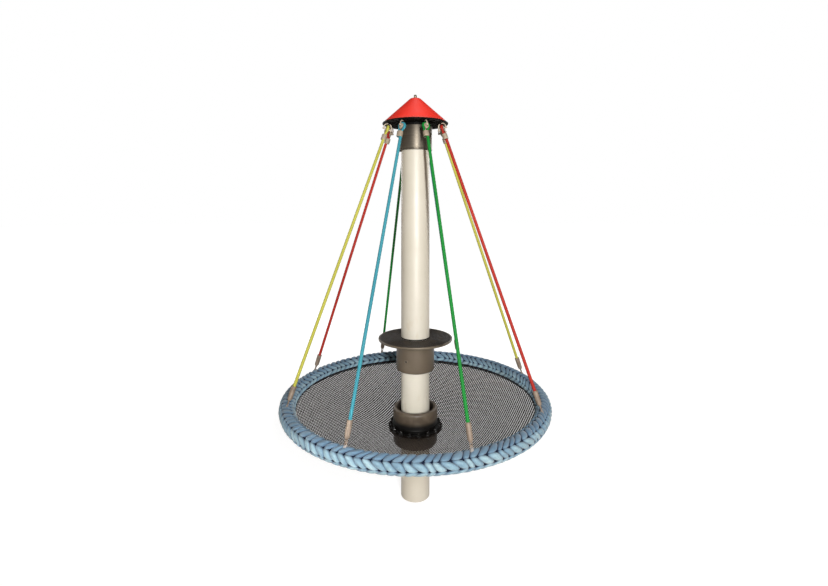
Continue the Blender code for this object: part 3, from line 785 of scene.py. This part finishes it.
def round_tree(finish):
    """Repeats a unit round the mast's axis, gives each copy its own tone and lets it wander a little."""
    wires, given = geometry_tree("copies_round_mast", ("Wander", "Grain", "Slide"), ("Copies", "Seed"))
    index = wires.made("GeometryNodeInputIndex")
    angle = wires.times(index, wires.maths("DIVIDE", 2 * math.pi, given["Copies"]))
    copies = wires.made("GeometryNodeInstanceOnPoints", {
        "Points": wires.made("GeometryNodePoints", {"Count": given["Copies"]}),
        "Instance": given["Geometry"], "Rotation": wires.combined(Z=angle),
    })
    numbered = wires.made("GeometryNodeStoreNamedAttribute", {
        "Geometry": copies, "Name": "turn_number", "Value": index,
    }, data_type="FLOAT", domain="INSTANCE")
    real = wires.made("GeometryNodeRealizeInstances", {"Geometry": numbered})

    number = wires.made("GeometryNodeInputNamedAttribute", {"Name": "turn_number"}, data_type="FLOAT")
    row = wires.made("GeometryNodeInputNamedAttribute", {"Name": "row_number"}, data_type="FLOAT")
    label = wires.plus(wires.times(number, LEAF_ROWS), row)
    tone = wires.add("FunctionNodeRandomValue", {"ID": label, "Seed": given["Seed"]}, data_type="FLOAT")
    toned = wires.made("GeometryNodeStoreNamedAttribute", {
        "Geometry": real, "Name": "leaf_tone", "Value": tone.outputs[1],
    }, data_type="FLOAT", domain="POINT")

    noise = wires.add("ShaderNodeTexNoise", {"Scale": given["Grain"], "Detail": 1.0})
    centred = wires.vector("SUBTRACT", noise.outputs["Color"], (0.5, 0.5, 0.5))
    wander = wires.vector("SCALE", centred, scale=given["Wander"])
    axes = wires.split(wires.made("GeometryNodeInputPosition"))
    around = wires.vector("NORMALIZE", wires.combined(X=wires.times(axes["Y"], -1.0), Y=axes["X"]))
    slip = wires.add("ShaderNodeTexNoise", {"Scale": SLIDE_GRAIN, "Detail": 0.0}).outputs["Fac"]
    slide = wires.times(wires.maths("SUBTRACT", slip, 0.5), given["Slide"])
    offset = wires.vector("ADD", wander, wires.vector("SCALE", around, scale=slide))
    moved = wires.made("GeometryNodeSetPosition", {"Geometry": toned, "Offset": offset})
    return end_tree(wires, moved, finish)


def round_copies(name, unit, finish, copies, wander=0.0, grain=20.0, seed=3, slide=0.0):
    values = {"Copies": copies, "Wander": wander, "Grain": grain, "Seed": seed, "Slide": slide}
    return grown(name, unit, round_tree(finish), values)


def leaf(row):
    """One padded leaf of the plaited cover, crowned, with ends that tuck in."""
    pitch = 2 * math.pi / LEAVES_ROUND
    slope = LEAF_SLANT if row % 2 else -LEAF_SLANT
    low = math.radians(ROW_STARTS[row])
    width = math.radians(ROW_STARTS[row + 1]) - low
    foot, lift, half = LEAF_SHAPES[row]
    work = bmesh.new()
    crest = work.verts.layers.float.new("crest")
    number = work.verts.layers.float.new("row_number")
    layer = work.loops.layers.uv.new("UVMap")
    grid = []
    for along in range(LEAF_ALONG + 1):
        share = along / LEAF_ALONG
        tip = max(0.0, 1 - abs(2 * share - 1) ** LEAF_POINT) ** 0.5
        angle = low + width * (0.5 + (share - 0.5) * LEAF_REACH)
        line = []
        for across in range(LEAF_ACROSS + 1):
            side = math.sin(math.pi / 2 * (2 * across / LEAF_ACROSS - 1))
            crown = max(0.0, 1 - side ** 2) ** 0.5
            rise = crown * (LEAF_END + (1 - LEAF_END) * tip)
            reach = foot + lift * rise
            turn = pitch * (slope * (share - 0.5) + half * side * (LEAF_NECK + (1 - LEAF_NECK) * tip))
            radius = RING_RADIUS + reach * math.cos(angle)
            vertex = work.verts.new((radius * math.cos(turn), radius * math.sin(turn),
                                     RING_HEIGHT + reach * math.sin(angle)))
            vertex[crest] = rise
            vertex[number] = row
            line.append(vertex)
        grid.append(line)
    for along in range(LEAF_ALONG):
        for across in range(LEAF_ACROSS):
            corners = [(along, across), (along + 1, across), (along + 1, across + 1), (along, across + 1)]
            face = work.faces.new([grid[a][b] for a, b in corners])
            for loop, (a, b) in zip(face.loops, corners):
                loop[layer].uv = (b / LEAF_ACROSS, a / LEAF_ALONG)
    right_side = [line[-1] for line in grid[1:-1]]
    left_side = [line[0] for line in grid[-2:0:-1]]
    work.faces.new(grid[0] + right_side + grid[-1][::-1] + left_side)
    return plain_mesh(work, "leaf")


def make_braid():
    """The plaited cover, and the navy core that shows only between its leaves; its near-black navy is painted
    shade.
    """
    unit = joined([leaf(row) for row in range(LEAF_ROWS)])
    unit.shade_smooth()
    cover = round_copies("plaited_leaves", unit, "braid_blue", LEAVES_ROUND,
                         LEAF_WANDER, WANDER_GRAIN, LEAF_SEED, LEAF_SLIDE)
    item = piece("plaited_cover", cover, "braid_blue", "rotor", ["ring_braid"])
    core = hoop(RING_RADIUS, RING_HEIGHT, CORE_RADIUS, 20)
    piece("ring_core", core, "braid_core", "rotor")


def net_tree():
    """Two crossing families of straight cords, lowered to the net's cone and trimmed to its edges."""
    wires, given = geometry_tree("net_cords", (
        "Pitch", "Cord Radius", "Half Span", "Step", "Inner Edge", "Outer Edge", "Flatness", "First Turn",
    ))
    span = wires.times(given["Half Span"], 2.0)
    back = wires.times(given["Half Span"], -1.0)

    def line(size, direction):
        return wires.made("GeometryNodeMeshLine", {
            "Count": wires.plus(wires.maths("DIVIDE", span, size), 1.0),
            "Start Location": wires.combined(**{direction: back}),
            "Offset": wires.combined(**{direction: size}),
        }, mode="OFFSET")

    rows = wires.made("GeometryNodeInstanceOnPoints", {
        "Points": line(given["Pitch"], "Y"), "Instance": line(given["Step"], "X"),
    })
    straight = wires.made("GeometryNodeRealizeInstances", {"Geometry": rows})
    families = wires.add("GeometryNodeJoinGeometry")
    for quarter, lift in ((0.0, NET_CROSSING), (math.pi / 2, -NET_CROSSING)):
        angle = wires.combined(Z=wires.plus(given["First Turn"], quarter))
        family = wires.made("GeometryNodeTransform", {
            "Geometry": straight, "Rotation": angle, "Translation": (0, 0, lift),
        })
        wires.feed(families.inputs[0], family)

    flat = wires.level(wires.made("GeometryNodeInputPosition"))
    radius = wires.vector("LENGTH", flat)

    def slope(start, end):
        return wires.spread(radius, start[0], end[0], start[1], end[1], False)

    cone = wires.maths("MAXIMUM", slope(NET_CLAMP, NET_MIDDLE), slope(NET_MIDDLE, NET_EDGE))
    cone = wires.maths("MINIMUM", cone, NET_EDGE[1] + NET_RISE)
    lowered = wires.made("GeometryNodeSetPosition", {
        "Geometry": families.outputs[0], "Offset": wires.combined(Z=cone),
    })
    too_far = wires.made("FunctionNodeCompare", {0: radius, 1: given["Outer Edge"]}, operation="GREATER_THAN")
    too_near = wires.made("FunctionNodeCompare", {0: radius, 1: given["Inner Edge"]}, operation="LESS_THAN")
    outside = wires.made("FunctionNodeBooleanMath", {0: too_far, 1: too_near}, operation="OR")
    trimmed = wires.made("GeometryNodeDeleteGeometry", {"Geometry": lowered, "Selection": outside})
    curves = wires.made("GeometryNodeMeshToCurve", {"Mesh": trimmed})

    inward = wires.vector("SCALE", wires.vector("NORMALIZE", flat), scale=-NET_SLOPE)
    along = wires.made("GeometryNodeInputTangent")
    side = wires.vector("CROSS_PRODUCT", along, wires.vector("ADD", inward, UP))
    level = wires.made("GeometryNodeSetCurveNormal", {"Curve": curves, "Normal": side}, mode="FREE")
    ring = {"Resolution": 6, "Radius": given["Cord Radius"]}
    section = wires.made("GeometryNodeTransform", {
        "Geometry": wires.made("GeometryNodeCurvePrimitiveCircle", ring),
        "Scale": wires.combined(X=1.0, Y=given["Flatness"], Z=1.0),
    })
    cords = wires.made("GeometryNodeCurveToMesh", {
        "Curve": level, "Profile Curve": section, "Fill Caps": True,
    })
    soft = wires.made("GeometryNodeSetShadeSmooth", {"Geometry": cords, "Shade Smooth": True})
    return end_tree(wires, soft, "net_grey")


def make_net():
    """The stretched net, with the hem that borders it."""
    cords = grown("net_cords", bpy.data.meshes.new("net_seed"), net_tree(), {
        "Pitch": NET_PITCH, "Cord Radius": NET_CORD, "Half Span": NET_HALF_SPAN, "Step": NET_STEP,
        "Inner Edge": NET_INNER, "Outer Edge": NET_OUTER, "Flatness": NET_FLATNESS, "First Turn": NET_TURN,
    })
    net = piece("net_of_cords", cords, "net_grey", "rotor", ["net"])
    border = hoop(NET_EDGE[0] + 0.0015, NET_EDGE[1] + 0.0005, HEM_RADIUS, 10)
    hem = piece("net_hem", border, "net_hem", "rotor")


def make_mast():
    """The post with its head, and the foot plate with its hub and screw."""
    piece("post_tube", turned([
        (0, POST_FLOOR), (POST_BORE, POST_FLOOR), (POST_BORE, POST_TOP, 0.0005),
        (POST_RADIUS, POST_TOP, 0.0008), (POST_RADIUS, 0.0, 0.0015), (0, 0.0),
    ], 128, False), "post_paint", "mast", ["post"])
    piece("post_spindle", turned([
        (0, SPINDLE_TOP), (SPINDLE_RADIUS, SPINDLE_TOP, 0.0015), (SPINDLE_RADIUS, HEAD_TOP, 0.001),
        (HEAD_RADIUS, HEAD_TOP, 0.0012), (HEAD_RADIUS, 2.1503, 0.0005), (HEAD_PLUG, 2.1503),
        (HEAD_PLUG, HEAD_BOTTOM, 0.001), (0, HEAD_BOTTOM),
    ], 64, False), "head_steel", "mast", ["post_head"])

    piece("foot_plate_body", turned([
        (PLATE_BORE, TREAD_SEAT), (0.2100, TREAD_SEAT, 0.0006), (0.2112, TREAD_TOP, 0.0008),
        (PLATE_RADIUS, TREAD_TOP, 0.0035), (PLATE_RADIUS, 0.9235, 0.0012), (0.2176, PLATE_BOTTOM, 0.0010),
        (0.2120, PLATE_BOTTOM, 0.0008), (0.2110, PLATE_HOLLOW, 0.0008), (0.1165, PLATE_HOLLOW, 0.0010),
        (HUB_SHOULDER, PLATE_BOTTOM, 0.0006), (PLATE_BORE, PLATE_BOTTOM),
    ], 128), "plate_rim", "mast", ["foot_plate"])
    tread = [(TREAD_INNER - 0.0005, TREAD_SEAT + 0.0002), (TREAD_INNER, TREAD_TOP, 0.0006)]
    groove = FIRST_GROOVE
    while groove < LAST_GROOVE:
        end = groove + GROOVE_WIDTH
        tread += [(groove, TREAD_TOP, 0.0003), (groove + GROOVE_SLOPE, TREAD_TOP - GROOVE_DEPTH),
                  (end - GROOVE_SLOPE, TREAD_TOP - GROOVE_DEPTH), (end, TREAD_TOP, 0.0003)]
        groove += GROOVE_PITCH
    tread += [(TREAD_OUTER, TREAD_TOP, 0.0006), (TREAD_OUTER + 0.0004, TREAD_SEAT + 0.0002)]
    piece("foot_plate_tread", turned(tread, 128, True, 1), "foot_plate_black", "mast")

    piece("hub_body", turned([
        (PLATE_BORE, HUB_TOP), (HUB_SHOULDER, HUB_TOP, 0.0008), (HUB_SHOULDER, 0.9160, 0.0012),
        (HUB_RADIUS, 0.9150, 0.0022), (HUB_RADIUS, HUB_BOTTOM, 0.014), (0.0885, HUB_BOTTOM, 0.0012),
        (PLATE_BORE, HUB_BOTTOM + 0.0025),
    ], 128, True, 5), "hub_metal", "mast", ["foot_plate_hub"])
    piece("collar_seat", turned([
        (0.0842, 0.9322), (0.0862, 0.9322), (0.0868, 0.9345, 0.0008), (0.0846, 0.9375, 0.0006),
        (0.0842, 0.9375),
    ]), "seal_black", "mast")

    outward = Vector((math.sin(SCREW_TURN), -math.cos(SCREW_TURN), 0))
    seat = (UP * SCREW_HEIGHT, outward, UP.cross(outward), UP)
    screw = [(0.0055, 0.0900), (0.0055, 0.1120), (0.0050, 0.1125), (0.0036, 0.1125), (0.0032, 0.1122),
             (0.0, 0.1122)]
    piece("hub_screw", smooth(shell(round_rings(screw, 12, *seat)), 30), "screw_steel", "mast", ["set_screw"])
    bush = [(0.0054, 0.1085), (0.0054, 0.1122), (0.0066, 0.1134), (0.0090, 0.1134), (0.0112, 0.1116),
            (0.0112, 0.1085)]
    piece("screw_bush", smooth(shell(round_rings(bush, 24, *seat), True), 30), "hub_metal", "mast")


def make_cap():
    """The bearing's sleeve and seals, the ribbed disc, the red cone and its nut."""
    piece("sleeve_shell", turned([
        (SLEEVE_BORE, SLEEVE_TOP), (SLEEVE_RADIUS, SLEEVE_TOP, 0.0015), (SLEEVE_RADIUS, 2.0478, 0.0004),
        (SLEEVE_GROOVE, 2.0470, 0.0003), (SLEEVE_GROOVE, 2.0452, 0.0003), (SLEEVE_RADIUS, 2.0444, 0.0004),
        (SLEEVE_RADIUS, SLEEVE_BOTTOM, 0.0015), (SLEEVE_BORE, SLEEVE_BOTTOM, 0.0008),
    ], 128), "sleeve_metal", "rotor", ["bearing_sleeve"])
    piece("sleeve_lip", turned([
        (0.0862, 2.0400), (0.0868, LIP_BOTTOM, 0.0008), (0.0984, LIP_BOTTOM, 0.0010), (0.0984, 2.0385),
        (0.0914, 2.0385), (0.0910, 2.0440),
    ]), "seal_black", "rotor")
    piece("seal_band", turned([
        (SEAL_BORE, SEAL_TOP), (SEAL_RADIUS, SEAL_TOP, 0.0010), (SEAL_RADIUS, 2.1900, 0.0006),
        (SEAL_GROOVE, 2.1890, 0.0004), (SEAL_GROOVE, 2.1850, 0.0004), (SEAL_RADIUS, 2.1840, 0.0006),
        (SEAL_RADIUS, SEAL_BOTTOM, 0.0010), (SEAL_BORE, SEAL_BOTTOM),
    ], 128), "seal_black", "rotor", ["seal_ring"])
    piece("cap_disc", turned([
        (0, 2.2402), (BOSS_RADIUS, 2.2400, 0.0015), (BOSS_RADIUS, DISC_TOP, 0.003),
        (DISC_RADIUS, DISC_TOP, 0.0022), (DISC_RADIUS, 2.1972, 0.0012), (0.1940, 2.1948, 0.0012),
        (0.1868, 2.1948, 0.0010), (0.1856, DISC_HOLLOW, 0.0008), (0.1040, DISC_HOLLOW, 0.0010),
        (0.1030, 2.1956, 0.0006), (BOSS_RADIUS, 2.1955, 0.001), (BOSS_RADIUS, BOSS_BOTTOM, 0.0008),
        (BOSS_BORE, BOSS_BOTTOM, 0.0006), (BOSS_BORE, BOSS_BORE_TOP), (0, BOSS_BORE_TOP),
    ], 128, False), "cap_black", "rotor", ["cap_plate"])

    rib_rings = []
    for x, half, low in ((0.102, 0.0022, 2.1895), (0.150, 0.0020, 2.1905), (0.186, 0.0018, 2.1940)):
        corners = ((-half, RIB_ROOT), (-half * 0.8, low), (half * 0.8, low), (half, RIB_ROOT))
        rib_rings.append([Vector((x, y, z)) for y, z in corners])
    rib = smooth(shell(rib_rings), 30)
    rib.transform(Matrix.Rotation(RIB_TURN, 4, "Z"))
    piece("cap_ribs", round_copies("cap_ribs", rib, "cap_black", RIBS), "cap_black", "rotor")

    piece("cone_cover", turned([
        (STUD_HOLE, 2.3485), (CONE_FLAT, 2.3487, 0.004), (0.1828, 2.2104, 0.0035),
        (CONE_RADIUS, 2.2085, 0.0008), (CONE_RADIUS, CONE_BOTTOM, 0.0006), (CONE_INSIDE, CONE_BOTTOM),
        (CONE_INSIDE, 2.2070, 0.001), (CONE_FLAT, 2.3455), (STUD_HOLE, 2.3455),
    ], 144), "cap_red", "rotor", ["cap_cone"])
    piece("dome_nut", turned([
        (0, 2.3730), (0.0052, 2.3722, 0.003), (0.0098, 2.3660, 0.004), (NUT_RADIUS, 2.3600, 0.001),
        (NUT_RADIUS, 2.3512, 0.0005), (NUT_WASHER, 2.3508, 0.0006), (NUT_WASHER, 2.3490, 0.0004),
        (STUD_RADIUS, 2.3488), (STUD_RADIUS, 2.2405), (0, 2.2405),
    ], 32, False), "nut_steel", "rotor", ["cap_nut"])


def lug_mesh(station):
    """A rounded plate with a hole for the shackle's bow, welded under the cap."""
    def outline(cosine, sine):
        if sine > 0:
            return LUG_ROUND
        return max(LUG_ROUND, min(LUG_HALF / max(abs(cosine), 1e-6), LUG_ROOT / max(-sine, 1e-6)))

    rings = []
    for hole, out in ((0.0055, -0.0042), (None, -0.0034), (None, 0.0034), (0.0055, 0.0042),
                      (0.0047, 0.0034), (0.0047, -0.0034)):
        ring = []
        for cosine, sine in circle(1.0, 32):
            reach = hole or outline(cosine, sine)
            ring.append(station.top(cosine * reach, LUG_MIDDLE + sine * reach, out))
        rings.append(ring)
    crown = station.out * LUG_CROWN
    back = [inner.lerp(outer, LUG_EDGE) - crown for inner, outer in zip(rings[0], rings[1])]
    face = [inner.lerp(outer, LUG_EDGE) + crown for inner, outer in zip(rings[3], rings[2])]
    return smooth(shell([rings[0], back, *rings[1:3], face, *rings[3:]], True), 45)


def eye_angle(leg):
    """Angle from straight down at which a rope leg leaves the round of its eye."""
    reach = math.hypot(leg, EYE_LEG_START)
    return math.atan2(leg, EYE_LEG_START) + math.acos(EYE_BEND / reach)


def make_rope(station):
    """Rope from its fitting up through the ferrule, round the eye and back into the ferrule."""
    pressed = ROPE_PRESSED / ROPE_RADIUS
    low = station.top(0, station.length - FITTING_TOP + ROPE_SINK)
    start = station.top(MAIN_LEG, FERRULE_BOTTOM + ROPE_SWELL)
    steps = int((start - low).length / ROPE_STEP)
    route = [(low.lerp(start, index / steps), 1.0) for index in range(steps + 1)]
    route.append((station.top(MAIN_LEG, FERRULE_BOTTOM + 0.003), 1.0))
    route += [(station.top(MAIN_LEG, down), pressed) for down in LEG_STEPS]
    first = eye_angle(MAIN_LEG)
    turn = 2 * math.pi - eye_angle(-TAIL_LEG) - first
    for index in range(EYE_STEPS + 1):
        angle = first + turn * index / EYE_STEPS
        route.append((station.top(EYE_BEND * math.sin(angle), EYE_BEND * math.cos(angle)), 1.0))
    route += [(station.top(TAIL_LEG, down), pressed) for down in (*reversed(LEG_STEPS), TAIL_END)]
    path, factors = zip(*route)

    outline = []
    crests = []
    for angle in turns(ROPE_AROUND):
        crest = abs(math.cos(STRANDS * angle / 2)) ** 0.8
        radius = ROPE_RADIUS * (1 - STRAND_DEPTH * (1 - crest))
        outline.append((radius * math.cos(angle), radius * math.sin(angle)))
        crests.append(crest)

    def fabric(ring, point):
        return point / ROPE_AROUND, ring * ROPE_STEP / (2 * math.pi * ROPE_RADIUS)

    rings = swept(path, outline, station.out, factors=factors, twist=2 * math.pi / LAY_LENGTH)
    mesh = shell(rings, fabric=fabric)
    crest = mesh.attributes.new("crest", "FLOAT", "POINT")
    # The last ring, at the tail's cut end, gets no crest, so painted groove shade darkens the whole end.
    crest.data.foreach_set("value", crests * (len(rings) - 1) + [0.0] * ROPE_AROUND)
    mesh.shade_smooth()
    at_stations("laid_rope", mesh, [f"rope_{name}" for name in ROPE_ORDER], "rope")


def make_ferrules(station):
    """Pressed sleeves with three bands. A level is a share of the length and of the size."""
    levels = []
    for share, grow in ((0.0, 0.90), (0.03, 0.955), (0.08, 0.985), (0.16, 1.0), (0.24, 1.0), (0.27, 0.975),
                        (0.31, 0.975), (0.34, 1.0), (0.48, 1.004), (0.51, 0.978), (0.55, 0.978),
                        (0.58, 1.004), (0.72, 1.0), (0.75, 0.975), (0.79, 0.975), (0.82, 1.0),
                        (0.92, 0.99), (0.97, 0.96), (1.0, 0.90)):
        down = FERRULE_TOP + (FERRULE_BOTTOM - FERRULE_TOP) * share
        levels.append((down, FERRULE_WIDE * grow, FERRULE_DEEP * grow, FERRULE_SQUARE))
    sleeve = stacked(levels, station.top, 48, FERRULE_SIDE)
    at_stations("pressed_ferrule", sleeve, ["ferrule_metal"], "top_ferrule")


def make_shackles(station):
    """Shackles with ears and a pin, the thimbles in the ropes' eyes, and the cap's lugs."""
    path = hairpin(station.top, (SHACKLE_END, -SHACKLE_STRAIGHT * 0.5), -SHACKLE_STRAIGHT, SHACKLE_HALF, 24)
    parts = [smooth(shell(swept(path, circle(SHACKLE_BAR, 16), station.across)), 60)]
    ear = ((0.0050, -0.0036), (0.0060, -0.0032), (0.0065, -0.0020), (0.0065, 0.0020), (0.0060, 0.0032),
           (0.0050, 0.0036))
    for sign in (1, -1):
        parts.append(station.button([(radius, sign * (SHACKLE_HALF + out)) for radius, out in ear]))
    parts.append(station.button([
        (0.0, -0.0290), (0.0045, -0.0290), (0.0052, -0.0282), (0.0052, -0.0262), (0.0038, -0.0258),
        (0.0038, 0.0250), (0.0048, 0.0258), (0.0050, 0.0268), (0.0046, 0.0276), (0.0036, 0.0278),
        (0.0030, 0.0262), (0.0, 0.0260),
    ]))
    at_stations("bow_shackle", joined(parts), ["shackle_steel"], "top_shackle")

    thimble = []
    for out, radius in ((-0.0108, 0.0050), (-0.0108, 0.0134), (-0.0098, 0.0138), (-0.0084, 0.0112),
                        (-0.0045, 0.0070), (0.0045, 0.0070), (0.0084, 0.0112), (0.0098, 0.0138),
                        (0.0108, 0.0134), (0.0108, 0.0050)):
        ring = []
        for cosine, sine in circle(1.0, 32):
            point = max(0.0, sine) ** 3 * THIMBLE_POINT if radius > THIMBLE_BORE else 0.0
            ring.append(station.top(radius * cosine - point * THIMBLE_LEAN, radius * sine + point, out))
        thimble.append(ring)
    at_stations("eye_thimble", smooth(shell(thimble, True), 50), ["ferrule_metal"])
    at_stations("cap_lug", lug_mesh(station), ["cap_black"])


def make_end_fittings(station):
    """Grooved sleeves that end in two links, and the straps that hold them to the ring."""
    levels = [(-FITTING_TOP, 0.0098, 0.0098, 2), (-FITTING_TOP, 0.0128, 0.0128, 2),
              (-0.0922, 0.0140, 0.0140, 2), (TAPER_START, FITTING_WIDE, FITTING_WIDE, 2)]
    for down in (-0.0840, -0.0700, -0.0560, -0.0420):
        wide = FITTING_WIDE - (down - TAPER_START) * FITTING_TAPER
        for step, sink, square in ((-0.0016, 0, 2), (-0.0008, 0.0005, 2.2), (0.0008, 0.0005, 2.2),
                                   (0.0016, 0, 2)):
            levels.append((down + step, wide - sink, wide - sink, square))
    levels += [(-0.0280, 0.0134, 0.0132, 2), (-0.0220, 0.0126, 0.0118, 2.2),
               (-0.0180, 0.0108, 0.0094, 2.4), (-0.0150, 0.0090, 0.0070, 2.6),
               (-0.0134, 0.0074, 0.0052, 2.6)]
    parts = [stacked(levels, station.low, 32)]
    for middle, radius, bar in ((-0.0050, 0.0060, 0.0027), (0.0102, 0.0058, 0.0025)):
        link = [station.low(x, middle + LINK_STRETCH * y) for x, y in circle(radius, 28)]
        parts.append(smooth(shell(swept(link, circle(bar, 10), station.out, True), True), 60))
    at_stations("swaged_end", joined(parts), ["fitting_metal"], "end_fitting")

    path = hairpin(station.low, (0.040, 0.028, STRAP_TOP + 0.004), STRAP_TOP, STRAP_BEND, 12)
    band = [(0.0064, -0.0009), (0.0068, -0.0004), (0.0068, 0.0004), (0.0064, 0.0009)]
    band += [(-x, -y) for x, y in band]
    strap = smooth(shell(swept(path, band, station.across)))
    at_stations("foot_strap", strap, ["foot_strap"])


def make_collar():
    """The two halves of the collar, and the clamp with its nuts."""
    piece("collar_body", turned([
        (COLLAR_BORE, COLLAR_TOP, 0.003), (COLLAR_RADIUS, COLLAR_TOP, 0.018),
        (COLLAR_RADIUS, 0.4345, 0.002), (COLLAR_BEAD, 0.4330, 0.0012), (COLLAR_BEAD, 0.4270, 0.0012),
        (COLLAR_RADIUS, 0.4255, 0.001), (COLLAR_RADIUS, COLLAR_SPLIT), (COLLAR_BORE, COLLAR_SPLIT, 0.001),
    ], 128, True, 6), "collar_brown", "rotor", ["collar_upper"])
    piece("collar_foot", turned([
        (COLLAR_BORE, LOWER_TOP), (FLANGE_RADIUS, LOWER_TOP, 0.0012), (FLANGE_RADIUS, FLANGE_BOTTOM, 0.0015),
        (0.1325, FLANGE_BOTTOM, 0.004), (LOWER_RADIUS, 0.3940, 0.002), (LOWER_RADIUS, LOWER_BOTTOM, 0.018),
        (COLLAR_BORE, LOWER_BOTTOM, 0.002),
    ], 128, True, 6), "collar_brown", "rotor", ["collar_lower"])
    piece("clamp_flange", turned([
        (CLAMP_INNER, CLAMP_TOP), (CLAMP_OUTER, CLAMP_TOP, 0.0018), (CLAMP_OUTER, CLAMP_BOTTOM, 0.0012),
        (CLAMP_INNER, CLAMP_BOTTOM),
    ], 128), "clamp_black", "rotor", ["clamp_ring"])

    lug = [(0.0128, 0.4112), (0.0133, 0.4118), (0.0133, 0.4182), (0.0126, 0.4190)]
    washer = [(0.0100, 0.4188), (0.0104, 0.4194), (0.0104, 0.4200), (0.0098, 0.4206)]
    nut = [(0.0076, 0.4204), (0.0082, 0.4208), (0.0082, 0.4262), (0.0076, 0.4268)]
    dome = [(0.0066, 0.4266), (0.0064, 0.4284), (0.0052, 0.4304), (0.0030, 0.4316), (0, 0.4320)]
    below = [(0.0, 0.3915), (0.0078, 0.3915), (0.0086, 0.3922), (0.0086, 0.3984), (0.0080, 0.3988)]
    unit = joined([
        smooth(shell(round_rings(levels, points, EAST * NUT_CIRCLE)), 35)
        for levels, points in ((lug, 18), (washer, 16), (nut, 6), (dome, 12), (below, 6))
    ])
    unit.transform(Matrix.Rotation(FIRST_NUT, 4, "Z"))
    nuts = round_copies("clamp_nuts", unit, "clamp_nut_black", CLAMP_NUTS)
    piece("clamp_nuts", nuts, "clamp_nut_black", "rotor")


def make_floor():
    """A round floor that grows white with distance and throws no light on the object."""
    finish = Finish("studio_floor", 0.75, shine=0.0)
    finish.shader["Emission Color"].default_value = WHITE
    glow = finish.spread(finish.vector("LENGTH", finish.place), GLOW_NEAR, GLOW_FAR, FLOOR_GLOW, 1.0)
    finish.feed(finish.shader["Emission Strength"], glow)
    finish.done(finish.shades(finish.grain(0.8), (0.3, (156, 156, 155)), (0.7, (160, 160, 159))))
    mesh = shell(round_rings([(radius, FLOOR_LEVEL) for radius in FLOOR_RADII], 96), caps=False)
    mesh.materials.append(FINISHES["studio_floor"])
    floor = placed("studio_floor", mesh)
    floor.visible_diffuse = False


def make_world():
    """White where the camera looks, and a warm soft light for everything else."""
    world = bpy.data.worlds.new("studio_world")
    world.use_nodes = True
    wires = Wiring(world.node_tree)
    aim = wires.split(wires.add("ShaderNodeTexCoord").outputs["Object"])
    front = wires.maths("POWER", wires.spread(aim["Y"], 0.1, -1.0), 2.0)
    below = wires.spread(aim["Z"], 0.1, -0.2)
    light = wires.plus(wires.times(front, WORLD_FRONT), WORLD_AROUND)
    light = wires.plus(wires.times(below, WORLD_BELOW), light)
    seen = wires.add("ShaderNodeLightPath").outputs["Is Camera Ray"]
    background = world.node_tree.nodes["Background"].inputs
    wires.feed(background["Color"], wires.blend(seen, WORLD_TINT, WHITE))
    wires.feed(background["Strength"], wires.made("ShaderNodeMix", {"Factor": seen, "A": light, "B": 1.0}))
    bpy.context.scene.world = world
    bpy.context.scene.view_settings.view_transform = "Standard"


def make_softboxes():
    for name, place, aim, size, power, spread in SOFTBOXES:
        light = bpy.data.lights.new(name, "AREA")
        light.shape = "RECTANGLE"
        light.size, light.size_y = size
        light.energy = power
        light.spread = math.radians(spread)
        item = placed(name, light)
        item.location = place
        item.rotation_euler = (Vector(aim) - Vector(place)).to_track_quat("-Z", "Y").to_euler()


def make_camera():
    camera = bpy.data.cameras.new("photo_camera")
    camera.sensor_width = SENSOR
    camera.lens = FOCAL_PIXELS / PHOTO_WIDTH * SENSOR
    camera.shift_x = SHIFT_RIGHT
    camera.shift_y = SHIFT_DOWN
    item = placed("photo_camera", camera)
    item.location = (0, -CAMERA_BACK, CAMERA_HEIGHT)
    item.rotation_euler = (math.radians(90), 0, 0)
    bpy.context.scene.camera = item


def main():
    make_finishes()
    make_camera()
    station = Station()
    make_mast()
    make_cap()
    make_rope(station)
    make_ferrules(station)
    make_shackles(station)
    make_end_fittings(station)
    make_braid()
    make_collar()
    make_net()
    make_floor()
    make_world()
    make_softboxes()


main()
